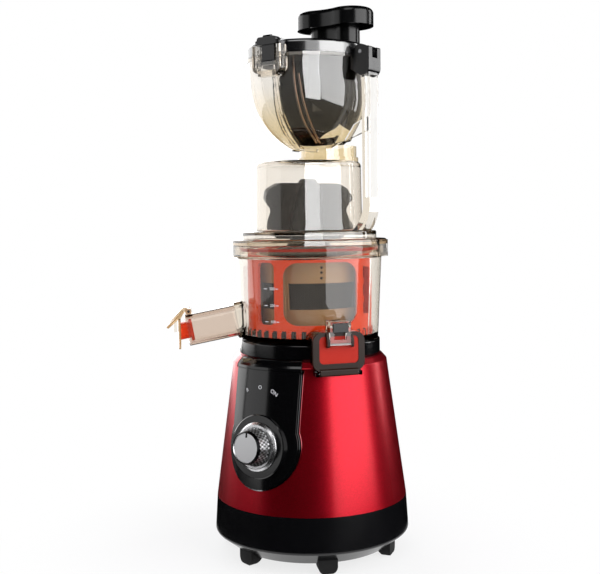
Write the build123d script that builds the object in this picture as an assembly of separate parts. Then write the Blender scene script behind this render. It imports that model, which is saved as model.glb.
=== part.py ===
from build123d import *
from math import radians, sin, cos, tan, atan2, hypot, pi, degrees, sqrt
import os

# Cold press juicer, millimetres, +Z up. The origin is on the machine's axis at table height.
# -Y is the front, with the control panel. An angle is measured from the front towards +X.

# ---- driving dimensions ---------------------------------------------------------------------
WALL = 2.5                # moulded plastic wall
RUN = 0.4                 # clearance between pieces that turn or slide past each other
FIT = 0.2                 # clearance of a piece set into a recess
CROSS_PIN_R = 1.2         # small hinge pins
PIN_SLACK = 0.05          # radial slack of a pivot hole

# feet and base
FOOT_ANGLES = (44, 104, 164, -136, -16)   # five feet on the common circle
FOOT_OUT = 77.0           # outer face of those feet
SIDE_FOOT_ANGLE = -72     # the foot under the spout stands further out, against tipping
SIDE_FOOT_OUT = 85.0
FOOT_WIDTH = 17.0
FOOT_DEPTH = 17.0
FOOT_TIP = 7.0            # radius of the foot's lower corners
PLATE_Z = 9.0             # underside of the base plate
PLATE_T = 3.0
PLATE_R = 70.0
VENT_RINGS = (20, 27, 34)
VENT_W = 3.5
LEDGE_R = 62.0            # inner edge of the skirt's screw ledge
SKIRT_EDGE_Z = 22.0       # where the bevel of the underside meets the skirt
SKIRT_R = 89.0
SPLIT_Z = 53.0            # joint of the skirt and the painted housing
SPLIT_R = 87.0
SCREW_R = 66.0            # circle of the base screws
SCREW_HEAD_R = 3.4
SCREW_SHANK_R = 1.7
SCREW_ANGLES = (14, 74, 134, 194, 254, 314)

# painted housing
SHOULDER_Z = 177.0
SHOULDER_R = 70.0
HOUSING_TOP_Z = 182.0
HOUSING_TOP_R = 65.5
HOUSING_HOLE_R = 50.0     # opening under the drip ring
DECK_T = 3.0              # the housing's inner deck

# drip ring under the bowl
RING_R = 64.0
RING_TOP_Z = 196.0
RING_HUB_R = 17.0
RING_HUB_TOP = 195.0

# control panel, a tongue on the cone's front
PANEL_HALF = 34.0         # half width
PANEL_ROUND = 36.5        # radius of its round lower end
PANEL_TOP_Z = 175.0
PANEL_PROUD = 2.4
PANEL_POCKET = 0.9        # depth of its recess in the housing
POD_T = 1.2               # round pod behind the knob
TRIM_W = 1.1              # silver line round the panel
KNOB_Z = 110.0
BEZEL_R = 27.5            # raised round of the panel behind the knob
RING_KNOB_R = 21.0        # chrome ring
RING_KNOB_T = 3.4
KNOB_R = 16.2
KNOB_CAP_R = 12.6
KNOB_LEN = 17.0
KNOB_RIBS = 36

# juicing bowl
BOWL_FOOT_R = 62.5
BOWL_RIM_R = 66.0
BOWL_RIM_Z = 270.0
BOWL_FLOOR_T = 3.0
FLANGE_R = 70.5           # flange round the bowl's mouth
FLANGE_Z = 271.0
LID_Z = 281.0             # joint of the bowl and the chamber lid
SLEEVE_R = 13.0           # sleeve round the shaft in the bowl floor
SLEEVE_Z = 209.0
PULP_ANGLE = 52.0
PULP_W = 46.0
PULP_Z0 = 175.5
PULP_Z1 = 208.7
PULP_BACK = 71.5          # plane behind the pulp box, clear of the painted shoulder
PULP_FACE = 76.0          # front of the pulp box
PULP_CORNER = 8.0
SPOUT_ANGLE = -46.0
SPOUT_W = 30.0
SPOUT_H = 27.8
SPOUT_CORNER = 9.0
SPOUT_ROOT_R = BOWL_FOOT_R + 3.5   # the spout's axis starts here, at SPOUT_ROOT_Z
SPOUT_ROOT_Z = 214.3
SPOUT_DROP = 10.2         # degrees below level
SPOUT_LEN = 46.7

# chamber lid, feed chamber, hopper
LID_TOP_Z = 286.0
STEP_R = 61.5
STEP_Z = 293.0
CHAMBER_R = 48.0
CHAMBER_TOP_Z = 355.0
NECK_AT = (13.0, 14.0)    # the hopper's outlet stands off the axis
NECK_R = 25.8
NECK_TOP_Z = 366.0
HOPPER_RIM_R = 53.5
HOPPER_RIM_Z = 446.0
HOPPER_WALL = 2.4
HOPPER_SECTIONS = (       # height, share of the neck's offset, radius
    (366.0, 0.62, 25.8),
    (379.0, 0.28, 37.0),
    (397.0, 0.15, 48.0),
    (421.0, 0.02, 52.4),
    (446.0, 0.0, 53.5),
)
HOPPER_RIBS = (215, 262, 309, 356)     # angles of the crushing ribs inside
RIB_T = 2.2
RIB_DEPTH = 2.6

# handle column and lid hinge, on the +X side
COLUMN_IN = 62.5
COLUMN_OUT = 69.5
COLUMN_W = 16.0
HINGE_X = 62.0
HINGE_Z = 447.0
HINGE_KNUCKLE_R = 4.6
CHEEK_R = 6.3
HINGE_HALF_W = 10.0
TONGUE_HALF_W = 4.4       # the lid's knuckle between the cheeks
PIN_R = 1.6
BLOCK_OUT = 71.0
BLOCK_Z0 = 426.6

# hopper lid, feed tube, pusher
COVER_R = 54.5
COVER_TOP_Z = 457.0
FEED_AT = (18.5, 19.5)
STEM_HALF = 12.0          # half the distance of the bean's two lobes
STEM_LOBE = 12.0
STEM_WAIST = 30.0
STEM_BOTTOM = 402.0
TUBE_WALL = 1.8
TUBE_GAP = 0.8            # between the feed tube and the hopper's wall
TUBE_BOTTOM_Z = 380.0
TUBE_CUT = 36.0           # slope of the tube's lower end, degrees
PUSH_HALF = 16.5
PUSH_LOBE = 20.5
PUSH_WAIST = 40.0
PUSH_Z0 = 475.0
PUSH_TOP_Z = 490.5
PUSH_WALL = 2.4
PUSH_ROOF = 4.0
PUSH_ROUND = 4.5
STEM_WALL = 2.2
GUARD_IN = 11.0           # a dark guard hangs inside the hopper's back wall, this far off it
GUARD_T = 1.6
GUARD_Z0 = 372.0
GUARD_AT = (182, 145)     # its middle and its spread, degrees

# lid latch at the front of the rim
LATCH_W = 30.0
LATCH_FRONT = 61.0
LATCH_Z0 = 428.5
LATCH_Z1 = 452.0
BUTTON_TOP_Z = 459.0
TONGUE_W = 13.0

# turning parts in the bowl
STRAINER_R0 = 43.5
STRAINER_R1 = 46.5
STRAINER_Z0 = 209.5
STRAINER_Z1 = 268.0
STRAINER_WALL = 1.8
MESH_Z0 = 225.0
MESH_Z1 = 248.0
MESH_T = 0.6
STRAINER_POSTS = (6, 121, 186, 301)   # angles of the bars between the mesh windows
STRAINER_POST = 8         # their spread, degrees
BRUSH_R_OUT = BOWL_FOOT_R - 6.5
BRUSH_R_IN = BRUSH_R_OUT - 3
BRUSH_Z0 = 200.4
BRUSH_WINDOW_Z0 = 212.0
BRUSH_TOP_Z = 271.0
BRUSH_WINDOWS = (         # middle and spread in degrees, corner radius; each stands twice
    (45.8, 70.4, 12.0),
    (-8.6, 20.0, 5.0),
)
BRUSH_BLADES = (93, 273)  # angles of the silicone blades
SLOT_Z = (220.0, 236.0, 252.0)   # the slots that hold a blade
SLOT_H = 10.0
BRUSH_COGS = 40           # drip cogs round the foot of the frame
AUGER_R = 40.5
AUGER_CORE_R = 25.0
AUGER_Z0 = 212.5
AUGER_TOP_Z = 286.0
AUGER_TURN = 300
CUTTER_R = 41.0
CUTTER_HUB_R = 15.0
CUTTER_TOP_Z = 340.0
CUTTER_TURN = 70
CUTTER_BLADE = 9.0        # thickness of its two blades

# gears in the bowl floor
BOWL_MODULE = 1.25
AUGER_TEETH = 28
IDLER_TEETH = 26
BRUSH_TEETH = 80
GEAR_Z0 = 201.0
GEAR_T = 5.5
IDLER_ANGLE = 180.0

# drive train in the housing
SHAFT_R = 6.0
HEX_ACROSS = 12.0
HEX_TOP_Z = 236.0
CASE_R = 46.0
CASE_Z0 = 126.0
CASE_T = 4.0
DRIVE_MODULE = 1.0
SUN_TEETH = 16
PLANET_TEETH = 32
RING_TEETH = 80
STAGE_Z0 = 132.0
STAGE_T = 12.0
CARRIER_T = 6.0
BEARING_T = 7.0
BEARING_R = 13.0
MOTOR_SHAFT_R = 4.0
STATOR_R = 42.0
STATOR_Z0 = 56.0
STATOR_Z1 = 104.0
ROTOR_R = 23.0
AIR_GAP = 0.6
SHIELD_T = 3.0
FAN_R = 36.0
FAN_BLADES = 9

# ---- places that follow from the sizes above ----------------------------------------------------
BOARD_Y = 52.0
INLET_Z = 38.0            # the mains lead's bushing at the back
INLET_R = 6.0
INLET_IN = 83.0
INLET_OUT = 90.0
BOARD_Z0 = PLATE_Z + PLATE_T + 8
PANEL_Z_LOW = KNOB_Z - PANEL_ROUND - 8
PANEL_Z_HIGH = PANEL_TOP_Z + 1.5
SEAL_R = 11.0
SWITCH_NECK_R = 4.4
SLEEVE_BORE_R = HEX_ACROSS / 2 / cos(radians(30)) + 0.5
PIN_BORE_R = 2.6
INTERLOCK_R = 57.0
INTERLOCK_ANGLE = 180.0
PIN_LOW_Z = HOUSING_TOP_Z - 6
SPRING_LEN = 10.0
SPRING_TURNS = 4
SPRING_R = 2.6
SPOUT_WALL = 2.2
PULP_HOLE_W = 32.0
PULP_HOLE_Z = 206.0
WINDOW_W = 35.0
WINDOW_Z0 = 182.0
WINDOW_Z1 = 205.3
FLAP_FACE = 79.5
FLAP_HINGE_Z = 173.8
FLAP_PIVOT_R = 78.0
FLAP_LIP_W = 34.0
LATCH_PIVOT_R = 82.0
LATCH_PIVOT_Z = 198.5
LATCH_TOP_Z = 218.0
LATCH_BAR_W = 18.5
STRIKE_R = 73.5
STRIKE_Z = 213.5
STRIKE_HALF_W = 6.4
STRIKE_TOP_Z = 216.0
FLAP_EAR_AT = 19.3        # the bowl's ears carry the door's pin
FLAP_EAR_HALF = 1.3
EAR_T = 2.2
PAD_HALF_W = 7.0
PAD_Z0 = 208.5
PAD_Z1 = 216.5
CAP_HINGE_ALONG = SPOUT_LEN - 4
CAP_HINGE_UP = SPOUT_H / 2 + 3.0
SPOUT_FALL = radians(SPOUT_DROP)
CAP_HINGE_R = SPOUT_ROOT_R + CAP_HINGE_ALONG * cos(SPOUT_FALL) + CAP_HINGE_UP * sin(SPOUT_FALL)
CAP_HINGE_Z = SPOUT_ROOT_Z - CAP_HINGE_ALONG * sin(SPOUT_FALL) + CAP_HINGE_UP * cos(SPOUT_FALL)
CAP_TIP_R = 131.0
CAP_TIP_Z = 210.5
CAP_PLATE_R = 118.0
CAP_Z0 = 189.5
CAP_Z1 = 216.0
CAP_TONGUE_W = 15.0
LUG_ANGLES = (99, 279)
LUG_OUT = 1.3
SEAL_DEPTH = 1.2
SEAL_T = 2.4
LUG_Z0 = 274.5
LUG_SPREAD = 16
BRUSH_GEAR_OUT = BOWL_MODULE * BRUSH_TEETH / 2 - 0.9 * BOWL_MODULE - 1
BRUSH_WINDOW_Z1 = 266.5
WIPER_OUT = min(BOWL_FOOT_R, BOWL_RIM_R) - WALL
WIPER_IN = STRAINER_R1 + 1.1
IDLER_AXIS_R = BOWL_MODULE * (AUGER_TEETH + IDLER_TEETH) / 2
IDLER_PIN_R = 3.0
IDLER_TIP_R = BOWL_MODULE * (IDLER_TEETH + 2) / 2
GEAR_TOP = GEAR_Z0 + GEAR_T
AUGER_HUB_R = SLEEVE_R + 4
COLUMN_TOP = BLOCK_Z0 + 7
BUTTON_BACK = 53.5
BUTTON_HALF_W = LATCH_W / 2 - 5
BUTTON_Z0 = LATCH_Z1 + 0.6
BUTTON_PIN_Y = 56.0
BUTTON_PIN_Z = 455.5
CASE_SCREW_R = 56.0
CASE_FLANGE_Z = 160.0
CASE_FLANGE_T = 4.0
CASE_TOP_Z = 178.0
RING_OUT = DRIVE_MODULE * RING_TEETH / 2 + 1.25 * DRIVE_MODULE + 0.5
PLANET_AXIS_R = DRIVE_MODULE * (SUN_TEETH + PLANET_TEETH) / 2
PLANET_PIN_R = 2.5
CARRIER_Z = STAGE_Z0 + STAGE_T + 1
BEARING_SMALL_R = 11.0
FAN_Z0 = 22.0
SHIELD_TOP_Z = STATOR_Z1 + 16
SHIELD_LOW_Z = STATOR_Z0 - 16
BOWL_Z = RING_TOP_Z                       # the bowl stands on the drip ring
FLOOR_Z = BOWL_Z + BOWL_FLOOR_T
BACK_TILT = degrees(atan2(SPLIT_R - SHOULDER_R, SHOULDER_Z - SPLIT_Z))   # slope of the cone

os.makedirs("parts", exist_ok=True)


# ---- helpers ----------------------------------------------------------------------------------
def turned(corners, radii=None):
    """Solid of revolution about Z from (radius, height) corners, some of them rounded."""
    if radii is None:
        line = Polyline(*corners, close=True)
    else:
        line = FilletPolyline(*corners, radius=radii, close=True)
    return revolve(make_face(Plane.XZ * line), Axis.Z)


def disc(radius, z0, z1, at=(0, 0)):
    return extrude(Pos(at[0], at[1], z0) * Circle(radius), z1 - z0)


def ring(outer, inner, z0, z1, at=(0, 0)):
    return disc(outer, z0, z1, at) - disc(inner, z0 - 1, z1 + 1, at)


def box(x0, x1, y0, y1, z0, z1):
    return Pos((x0 + x1) / 2, (y0 + y1) / 2, (z0 + z1) / 2) * Box(x1 - x0, y1 - y0, z1 - z0)


def side_profile(corners, half_width, radii=None):
    """Prism across X from (distance in front of the axis, height) corners."""
    if radii is None:
        line = Polyline(*corners, close=True)
    else:
        line = FilletPolyline(*corners, radius=radii, close=True)
    plane = Plane(origin=(half_width, 0, 0), x_dir=(0, -1, 0), z_dir=(-1, 0, 0))
    face = make_face(plane * line)
    return extrude(face, amount=2 * half_width, dir=(-1, 0, 0))


def turn_to(angle):
    """Location that carries something modelled at the front round to an angle."""
    return Rot(0, 0, angle)


def spot(radius, angle):
    """Point on a circle, from the angle off the front."""
    return (radius * sin(radians(angle)), -radius * cos(radians(angle)))


def sector(outer, inner, z0, z1, middle, spread):
    """Part of a ring about its middle angle, spread degrees wide."""
    a0, a1 = radians(middle - spread / 2 - 90), radians(middle + spread / 2 - 90)
    am = radians(middle - 90)
    points = [
        [(r * cos(a), r * sin(a)) for a in (a0, am, a1)] for r in (inner, outer)
    ]
    (i0, im, i1), (o0, om, o1) = points
    outline = (
        ThreePointArc(i0, im, i1) + Line(i1, o1) + ThreePointArc(o1, om, o0) + Line(o0, i0)
    )
    return extrude(Pos(0, 0, z0) * make_face(outline), z1 - z0)


def bean(half, lobe, waist):
    """Kidney outline: two lobes, straight at the back, with a waist at the front."""
    drop = sqrt((lobe + waist) ** 2 - half ** 2)
    share = lobe / (lobe + waist)
    touch = (half * (1 - share), -drop * share)
    mirrored = (-touch[0], touch[1])
    outline = (
        Line((half, lobe), (-half, lobe))
        + ThreePointArc((-half, lobe), (-half - lobe, 0), mirrored)
        + ThreePointArc(mirrored, (0, waist - drop), touch)
        + ThreePointArc(touch, (half + lobe, 0), (half, lobe))
    )
    return make_face(outline)


def raised(face, z0, z1, at=(0, 0)):
    """Upright prism on a flat outline drawn at the origin."""
    return extrude(Pos(at[0], at[1], z0) * face, amount=z1 - z0, dir=(0, 0, 1))


def gear_outline(module, teeth, slack, inward=False):
    """Gear face with involute flanks. Slack thins the teeth; inward makes a ring gear's bore."""
    pitch_r = module * teeth / 2
    base_r = pitch_r * cos(radians(20))
    tip, root = (pitch_r + module, pitch_r - 1.25 * module)
    if inward:
        tip, root = (pitch_r + 1.25 * module, pitch_r - 0.9 * module)
        slack = -slack
    def flank(r):
        a = sqrt(max(0.0, (r / base_r) ** 2 - 1))
        return a - atan2(a, 1)
    at_pitch = flank(pitch_r)
    half = pi / 2 / teeth - slack / 2 / pitch_r
    radii = [root, max(root, base_r * 1.002), pitch_r, (pitch_r + tip) / 2, tip]
    points = []
    for tooth in range(teeth):
        mid = 2 * pi * tooth / teeth
        left = [(r, mid - half - at_pitch + flank(r)) for r in radii]
        right = [(r, mid + half + at_pitch - flank(r)) for r in reversed(radii)]
        points += [(r * cos(a), r * sin(a)) for r, a in left + right]
    kept = []
    for i, (x, y) in enumerate(points):
        before = points[i - 1]
        if hypot(x - before[0], y - before[1]) > 1e-4:
            kept.append((x, y))
    return make_face(Polyline(*kept, close=True))


def gear(module, teeth, z0, thick, slack=0.12, phase=0.0):
    """Spur gear. Phase is in degrees."""
    return extrude(Pos(0, 0, z0) * (Rot(0, 0, phase) * gear_outline(module, teeth, slack)), thick)


def ring_gear_bore(module, teeth, z0, thick, slack=0.12, phase=0.0):
    """The toothed space inside a ring gear."""
    outline = gear_outline(module, teeth, slack, inward=True)
    return extrude(Pos(0, 0, z0) * (Rot(0, 0, phase) * outline), thick)


def wheel_phase(line, driver_teeth, driver_phase, teeth):
    """Angle of a wheel's first tooth, so that its gap meets the driver's tooth on their line."""
    pitch = 360 / driver_teeth
    off = (driver_phase - line + pitch / 2) % pitch - pitch / 2
    return line + 180 - off * driver_teeth / teeth + 180 / teeth


def ring_phase(line, wheel_teeth, phase, teeth):
    """Angle of a ring gear's first gap, so that the wheel's tooth stands in it."""
    pitch = 360 / wheel_teeth
    off = (phase - line + pitch / 2) % pitch - pitch / 2
    return line + off * wheel_teeth / teeth


def lofted(sections, at, shrink=0.0):
    """Loft through circles given as (height, share of the offset, radius)."""
    faces = [
        Pos(at[0] * share, at[1] * share, z) * Circle(r - shrink) for z, share, r in sections
    ]
    return loft(faces)


def cone_shell(inside, outside, z0, z1):
    """Shell along the housing's cone, from one offset off its surface to another."""
    def radius(z):
        return SPLIT_R - (z - SPLIT_Z) * tan(radians(BACK_TILT))
    slant = 1 / cos(radians(BACK_TILT))
    return turned([
        (radius(z0) + inside * slant, z0),
        (radius(z0) + outside * slant, z0),
        (radius(z1) + outside * slant, z1),
        (radius(z1) + inside * slant, z1),
    ])


def panel_prism(grow):
    """Prism in front of the axis with the panel's tongue outline, grown by a margin."""
    half, low = PANEL_HALF + grow, PANEL_ROUND + grow
    side_z = KNOB_Z + sqrt(low ** 2 - half ** 2)
    outline = Plane.XZ * (
        Line((-half, PANEL_TOP_Z + grow), (half, PANEL_TOP_Z + grow))
        + Line((half, PANEL_TOP_Z + grow), (half, side_z))
        + ThreePointArc((half, side_z), (0, KNOB_Z - low), (-half, side_z))
        + Line((-half, side_z), (-half, PANEL_TOP_Z + grow))
    )
    return extrude(make_face(outline), amount=120, dir=(0, -1, 0))


def write(name, shape):
    shape.label = name
    export_step(shape, f"parts/{name}.step")


def group(solids):
    return Compound(children=[s if isinstance(s, Compound) else Compound(children=[s]) for s in solids])


def knob_place(along=0.0):
    """Frame on the panel, with local Z out along the knob's tilted axis."""
    tilt = radians(BACK_TILT)
    surface = SPLIT_R - (KNOB_Z - SPLIT_Z) * tan(tilt) + PANEL_PROUD / cos(tilt)
    out = (0, -cos(tilt), sin(tilt))
    origin = (0, -surface + out[1] * along, KNOB_Z + out[2] * along)
    return Plane(origin=origin, x_dir=(1, 0, 0), z_dir=out).location


def spout_place(along=0.0):
    """Frame on the spout's axis, with local Z along the flow and local X across it."""
    drop = radians(SPOUT_DROP)
    flow = (0, -cos(drop), -sin(drop))
    origin = (0, -SPOUT_ROOT_R + flow[1] * along, SPOUT_ROOT_Z + flow[2] * along)
    return turn_to(SPOUT_ANGLE) * Plane(origin=origin, x_dir=(1, 0, 0), z_dir=flow).location


def spout_prism(width, height, corner, start, end):
    return extrude(spout_place(start) * RectangleRounded(width, height, corner), end - start)


# tooth phases, so that each pair is in mesh at rest
SUN_PHASE = -90.0
PLANET_PHASE = [wheel_phase(120 * k - 90, SUN_TEETH, SUN_PHASE, PLANET_TEETH) for k in range(3)]
CASE_PHASE = ring_phase(-90, PLANET_TEETH, PLANET_PHASE[0], RING_TEETH)
IDLER_PHASE = wheel_phase(IDLER_ANGLE - 90, AUGER_TEETH, 0, IDLER_TEETH)
RING_PHASE = ring_phase(IDLER_ANGLE - 90, IDLER_TEETH, IDLER_PHASE, BRUSH_TEETH)


# ---- feet, skirt, base plate ------------------------------------------------------------------
def make_skirt():
    inner = SKIRT_R - WALL
    shell = turned(
        [
            (LEDGE_R, PLATE_Z + PLATE_T),
            (PLATE_R + FIT, PLATE_Z + PLATE_T),
            (PLATE_R + FIT, PLATE_Z),
            (PLATE_R + 2, PLATE_Z),
            (SKIRT_R, SKIRT_EDGE_Z),
            (SPLIT_R, SPLIT_Z),
            (SPLIT_R - WALL, SPLIT_Z),
            (inner, SKIRT_EDGE_Z + 2),
            (PLATE_R + 1, PLATE_Z + PLATE_T + WALL),
            (LEDGE_R, PLATE_Z + PLATE_T + WALL),
        ],
        [0, 0, 0, 0, 3, 0, 0, 2, 0, 0],
    )
    lip = turned([
        (SPLIT_R - WALL - 1.6, SPLIT_Z - 6),
        (SPLIT_R - WALL + 0.1, SPLIT_Z - 6),
        (SPLIT_R - WALL + 0.1, SPLIT_Z - 1),
        (SPLIT_R - WALL - FIT, SPLIT_Z),
        (SPLIT_R - WALL - FIT - 0.8, SPLIT_Z + 4),
        (SPLIT_R - WALL - 1.6, SPLIT_Z + 4),
    ])
    skirt = shell + lip
    for angle in SCREW_ANGLES:
        at = spot(SCREW_R, angle)
        skirt += disc(4.0, PLATE_Z + PLATE_T, PLATE_Z + 16, at)
        skirt -= disc(SCREW_SHANK_R + FIT, PLATE_Z, PLATE_Z + 14, at)
    boss = Pos(0, (INLET_IN + INLET_OUT) / 2, INLET_Z) * Rot(90, 0, 0) * Cylinder(
        INLET_R + 4.5, INLET_OUT - INLET_IN)
    way = Pos(0, SKIRT_R, INLET_Z) * Rot(90, 0, 0) * Cylinder(INLET_R + FIT, 30)
    return skirt + boss - way


def make_base_plate():
    plate = disc(PLATE_R, PLATE_Z, PLATE_Z + PLATE_T)
    for radius in VENT_RINGS:
        for k in range(6):
            plate -= sector(radius + VENT_W, radius, PLATE_Z - 1, PLATE_Z + 9, 60 * k, 44)
    for angle in SCREW_ANGLES:
        at = spot(SCREW_R, angle)
        plate -= disc(SCREW_SHANK_R + FIT, PLATE_Z - 1, PLATE_Z + 9, at)
        plate -= disc(SCREW_HEAD_R + FIT, PLATE_Z - 1, PLATE_Z + 1.4, at)
    for side in (-1, 1):
        plate += disc(4.5, PLATE_Z + PLATE_T, BOARD_Z0, (side * 18, BOARD_Y))
    return plate


def make_foot(angle, out):
    """Rubber tongue: upright outer face, round lower corners, and a flare on the inner side."""
    side = side_profile(
        [(out, 0), (out, 24), (out - FOOT_DEPTH - 6, 24), (out - FOOT_DEPTH - 6, PLATE_Z),
         (out - FOOT_DEPTH + 5, PLATE_Z - 2.5), (out - 8, 0)],
        FOOT_WIDTH / 2, [2.5, 0, 0, 0, 3, 2],
    )
    front = Plane.XZ * FilletPolyline(
        (-FOOT_WIDTH / 2, 24), (-FOOT_WIDTH / 2, 0), (FOOT_WIDTH / 2, 0), (FOOT_WIDTH / 2, 24),
        radius=[0, FOOT_TIP, FOOT_TIP, 0], close=True,
    )
    tongue = side & extrude(make_face(front), amount=120, dir=(0, -1, 0))
    below = turned([
        (0, -1), (0, PLATE_Z), (PLATE_R + 2, PLATE_Z), (SKIRT_R, SKIRT_EDGE_Z), (SKIRT_R, -1),
    ])
    return turn_to(angle) * tongue & below


def make_feet():
    feet = [make_foot(angle, FOOT_OUT) for angle in FOOT_ANGLES]
    return feet + [make_foot(SIDE_FOOT_ANGLE, SIDE_FOOT_OUT)]


def make_screw(at, z0, length, head_r=SCREW_HEAD_R, shank_r=SCREW_SHANK_R):
    return disc(head_r, z0, z0 + 1.4, at) + disc(shank_r, z0 + 1.4, z0 + length, at)


# ---- painted housing, panel and knob ----------------------------------------------------------
def make_housing():
    slope = tan(radians(BACK_TILT))
    housing = turned(
        [
            (SPLIT_R, SPLIT_Z),
            (SHOULDER_R, SHOULDER_Z),
            (HOUSING_TOP_R, HOUSING_TOP_Z),
            (HOUSING_HOLE_R, HOUSING_TOP_Z),
            (HOUSING_HOLE_R, HOUSING_TOP_Z - DECK_T),
            (SHOULDER_R - WALL - 5, HOUSING_TOP_Z - DECK_T),
            (SHOULDER_R - WALL, SHOULDER_Z - DECK_T),
            (SPLIT_R - WALL, SPLIT_Z),
        ],
        [0, 1.5, 1.5, 0, 0, 2, 2, 0],
    )
    for k in range(8):
        rib = box(-1, 1, -SPLIT_R, -CASE_R - 8, SPLIT_Z + 6, HOUSING_TOP_Z - DECK_T)
        inner = turned([
            (0, SPLIT_Z + 6),
            (SPLIT_R - WALL + 0.2 - 6 * slope, SPLIT_Z + 6),
            (SHOULDER_R - WALL + 0.2, SHOULDER_Z - DECK_T),
            (0, SHOULDER_Z - DECK_T),
        ])
        hollow = turned([
            (0, SPLIT_Z + 5),
            (SPLIT_R - WALL - 8, SPLIT_Z + 5),
            (SHOULDER_R - WALL - 6, SHOULDER_Z - 14),
            (0, SHOULDER_Z - 14),
        ])
        housing += turn_to(45 * k + 22.5) * rib & inner - hollow
    for k in range(4):
        at = spot(CASE_SCREW_R, 90 * k + 45)
        housing += disc(5, CASE_FLANGE_Z + CASE_FLANGE_T, HOUSING_TOP_Z - DECK_T, at)
        housing -= disc(SCREW_SHANK_R + FIT, CASE_FLANGE_Z, HOUSING_TOP_Z - 1, at)
    pocket = cone_shell(-PANEL_POCKET, 8, PANEL_Z_LOW, PANEL_Z_HIGH) & panel_prism(TRIM_W + FIT)
    bore = knob_place(-20) * extrude(Circle(SWITCH_NECK_R + 1), 30)
    pin_hole = disc(PIN_BORE_R + FIT, HOUSING_TOP_Z - 9, RING_TOP_Z, spot(INTERLOCK_R, INTERLOCK_ANGLE))
    return housing - pocket - bore - pin_hole


def make_panel():
    shell = cone_shell(FIT - PANEL_POCKET, PANEL_PROUD, PANEL_Z_LOW, PANEL_Z_HIGH)
    tongue = shell & panel_prism(0)
    edge = cone_shell(PANEL_PROUD - 0.9, PANEL_PROUD + 1, PANEL_Z_LOW, PANEL_Z_HIGH)
    tongue -= edge & (panel_prism(1) - panel_prism(-0.9))
    pod = knob_place(-12) * extrude(Circle(BEZEL_R), 12 + POD_T)
    pod = chamfer(pod.edges().filter_by(GeomType.CIRCLE).sort_by(Axis.Y)[0], 0.8)
    pod &= cone_shell(FIT - PANEL_POCKET, PANEL_PROUD + 8, PANEL_Z_LOW, PANEL_Z_HIGH)
    seat = knob_place(-14) * extrude(Circle(SWITCH_NECK_R + FIT), 30)
    return tongue + pod - seat


def make_trim():
    shell = cone_shell(FIT - PANEL_POCKET, 0.9, PANEL_Z_LOW, PANEL_Z_HIGH)
    return shell & (panel_prism(TRIM_W) - panel_prism(0))


def make_knob_ring():
    profile = Plane.XZ * FilletPolyline(
        (RING_KNOB_R, 0), (RING_KNOB_R, RING_KNOB_T * 0.4), (RING_KNOB_R - 2.2, RING_KNOB_T),
        (KNOB_R + RUN, RING_KNOB_T), (KNOB_R + RUN, 0),
        radius=[0, 0.8, 0.8, 0, 0], close=True,
    )
    return knob_place(POD_T) * revolve(make_face(profile), Axis.Z)


def make_knob():
    """Knurled body, flat satin cap with a rim, and the spindle into the switch."""
    body = Plane.XZ * FilletPolyline(
        (0, RUN), (KNOB_R, RUN), (KNOB_R, 4), (KNOB_CAP_R + 1.4, KNOB_LEN - 1.5),
        (KNOB_CAP_R + 0.6, KNOB_LEN), (KNOB_CAP_R, KNOB_LEN), (KNOB_CAP_R - 0.4, KNOB_LEN - 0.8),
        (0, KNOB_LEN - 0.8),
        radius=[0, 0, 0, 0.5, 0, 0, 0, 0], close=True,
    )
    knob = revolve(make_face(body), Axis.Z)
    groove = Rot(0, -6.5, 0) * Cylinder(0.55, KNOB_LEN + 4)
    for k in range(KNOB_RIBS):
        knob -= Rot(0, 0, 360 * k / KNOB_RIBS) * Pos(KNOB_R - 0.4, 0, KNOB_LEN / 2) * groove
    notch = Pos(0, KNOB_CAP_R - 2.6, KNOB_LEN) * Box(1.4, 3.6, 2.4)
    spindle = extrude(Pos(0, 0, -16) * Circle(3.0), 16 + RUN)
    flat = Pos(0, 4.0, -11) * Box(8, 4, 12)
    return knob_place(POD_T) * (knob - notch + (spindle - flat))


def make_switch_body():
    """Rotary switch on the back of the panel, with its threaded neck and terminals."""
    body = extrude(Pos(0, 0, -22) * RectangleRounded(30, 26, 3), 14)
    neck = extrude(Pos(0, 0, -8.2) * Circle(SWITCH_NECK_R), 6)
    tabs = [Pos(x, 0, -25) * Box(3, 1, 6) for x in (-10, -3.5, 3.5, 10)]
    bore = extrude(Pos(0, 0, -18) * Circle(3.0 + FIT), 30)
    return knob_place() * (body + neck + tabs - bore)


# ---- drip ring --------------------------------------------------------------------------------
def make_top_ring():
    """Gloss ring that carries the bowl, dished inside, with a hub for the shaft seal."""
    dish = turned(
        [
            (RING_R - 1, HOUSING_TOP_Z),
            (RING_R, HOUSING_TOP_Z + 2),
            (RING_R, RING_TOP_Z),
            (BOWL_FOOT_R - 9, RING_TOP_Z),
            (BOWL_FOOT_R - 12, HOUSING_TOP_Z + WALL + 1),
            (RING_HUB_R + 6, HOUSING_TOP_Z + WALL + 1),
            (RING_HUB_R, RING_HUB_TOP),
            (SEAL_R, RING_HUB_TOP),
            (SEAL_R, HOUSING_TOP_Z),
            (HOUSING_HOLE_R - FIT, HOUSING_TOP_Z - 2),
            (HOUSING_HOLE_R - FIT, HOUSING_TOP_Z),
        ],
        [0, 0, 1.5, 1.5, 2, 3, 1, 0, 0, 0, 0],
    )
    dish -= ring(RING_R - WALL, HOUSING_HOLE_R + 6, HOUSING_TOP_Z - 1, RING_TOP_Z - WALL)
    pin = disc(PIN_BORE_R, HOUSING_TOP_Z - 4, RING_TOP_Z + 1, spot(INTERLOCK_R, INTERLOCK_ANGLE))
    post = disc(PIN_BORE_R + 2, HOUSING_TOP_Z, RING_TOP_Z, spot(INTERLOCK_R, INTERLOCK_ANGLE))
    return dish + post - pin


def make_interlock_pin():
    at = spot(INTERLOCK_R, INTERLOCK_ANGLE)
    pin = disc(PIN_BORE_R - 0.3, PIN_LOW_Z, RING_TOP_Z, at)
    return pin + disc(PIN_BORE_R + 1.4, PIN_LOW_Z, PIN_LOW_Z + 2, at)


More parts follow.
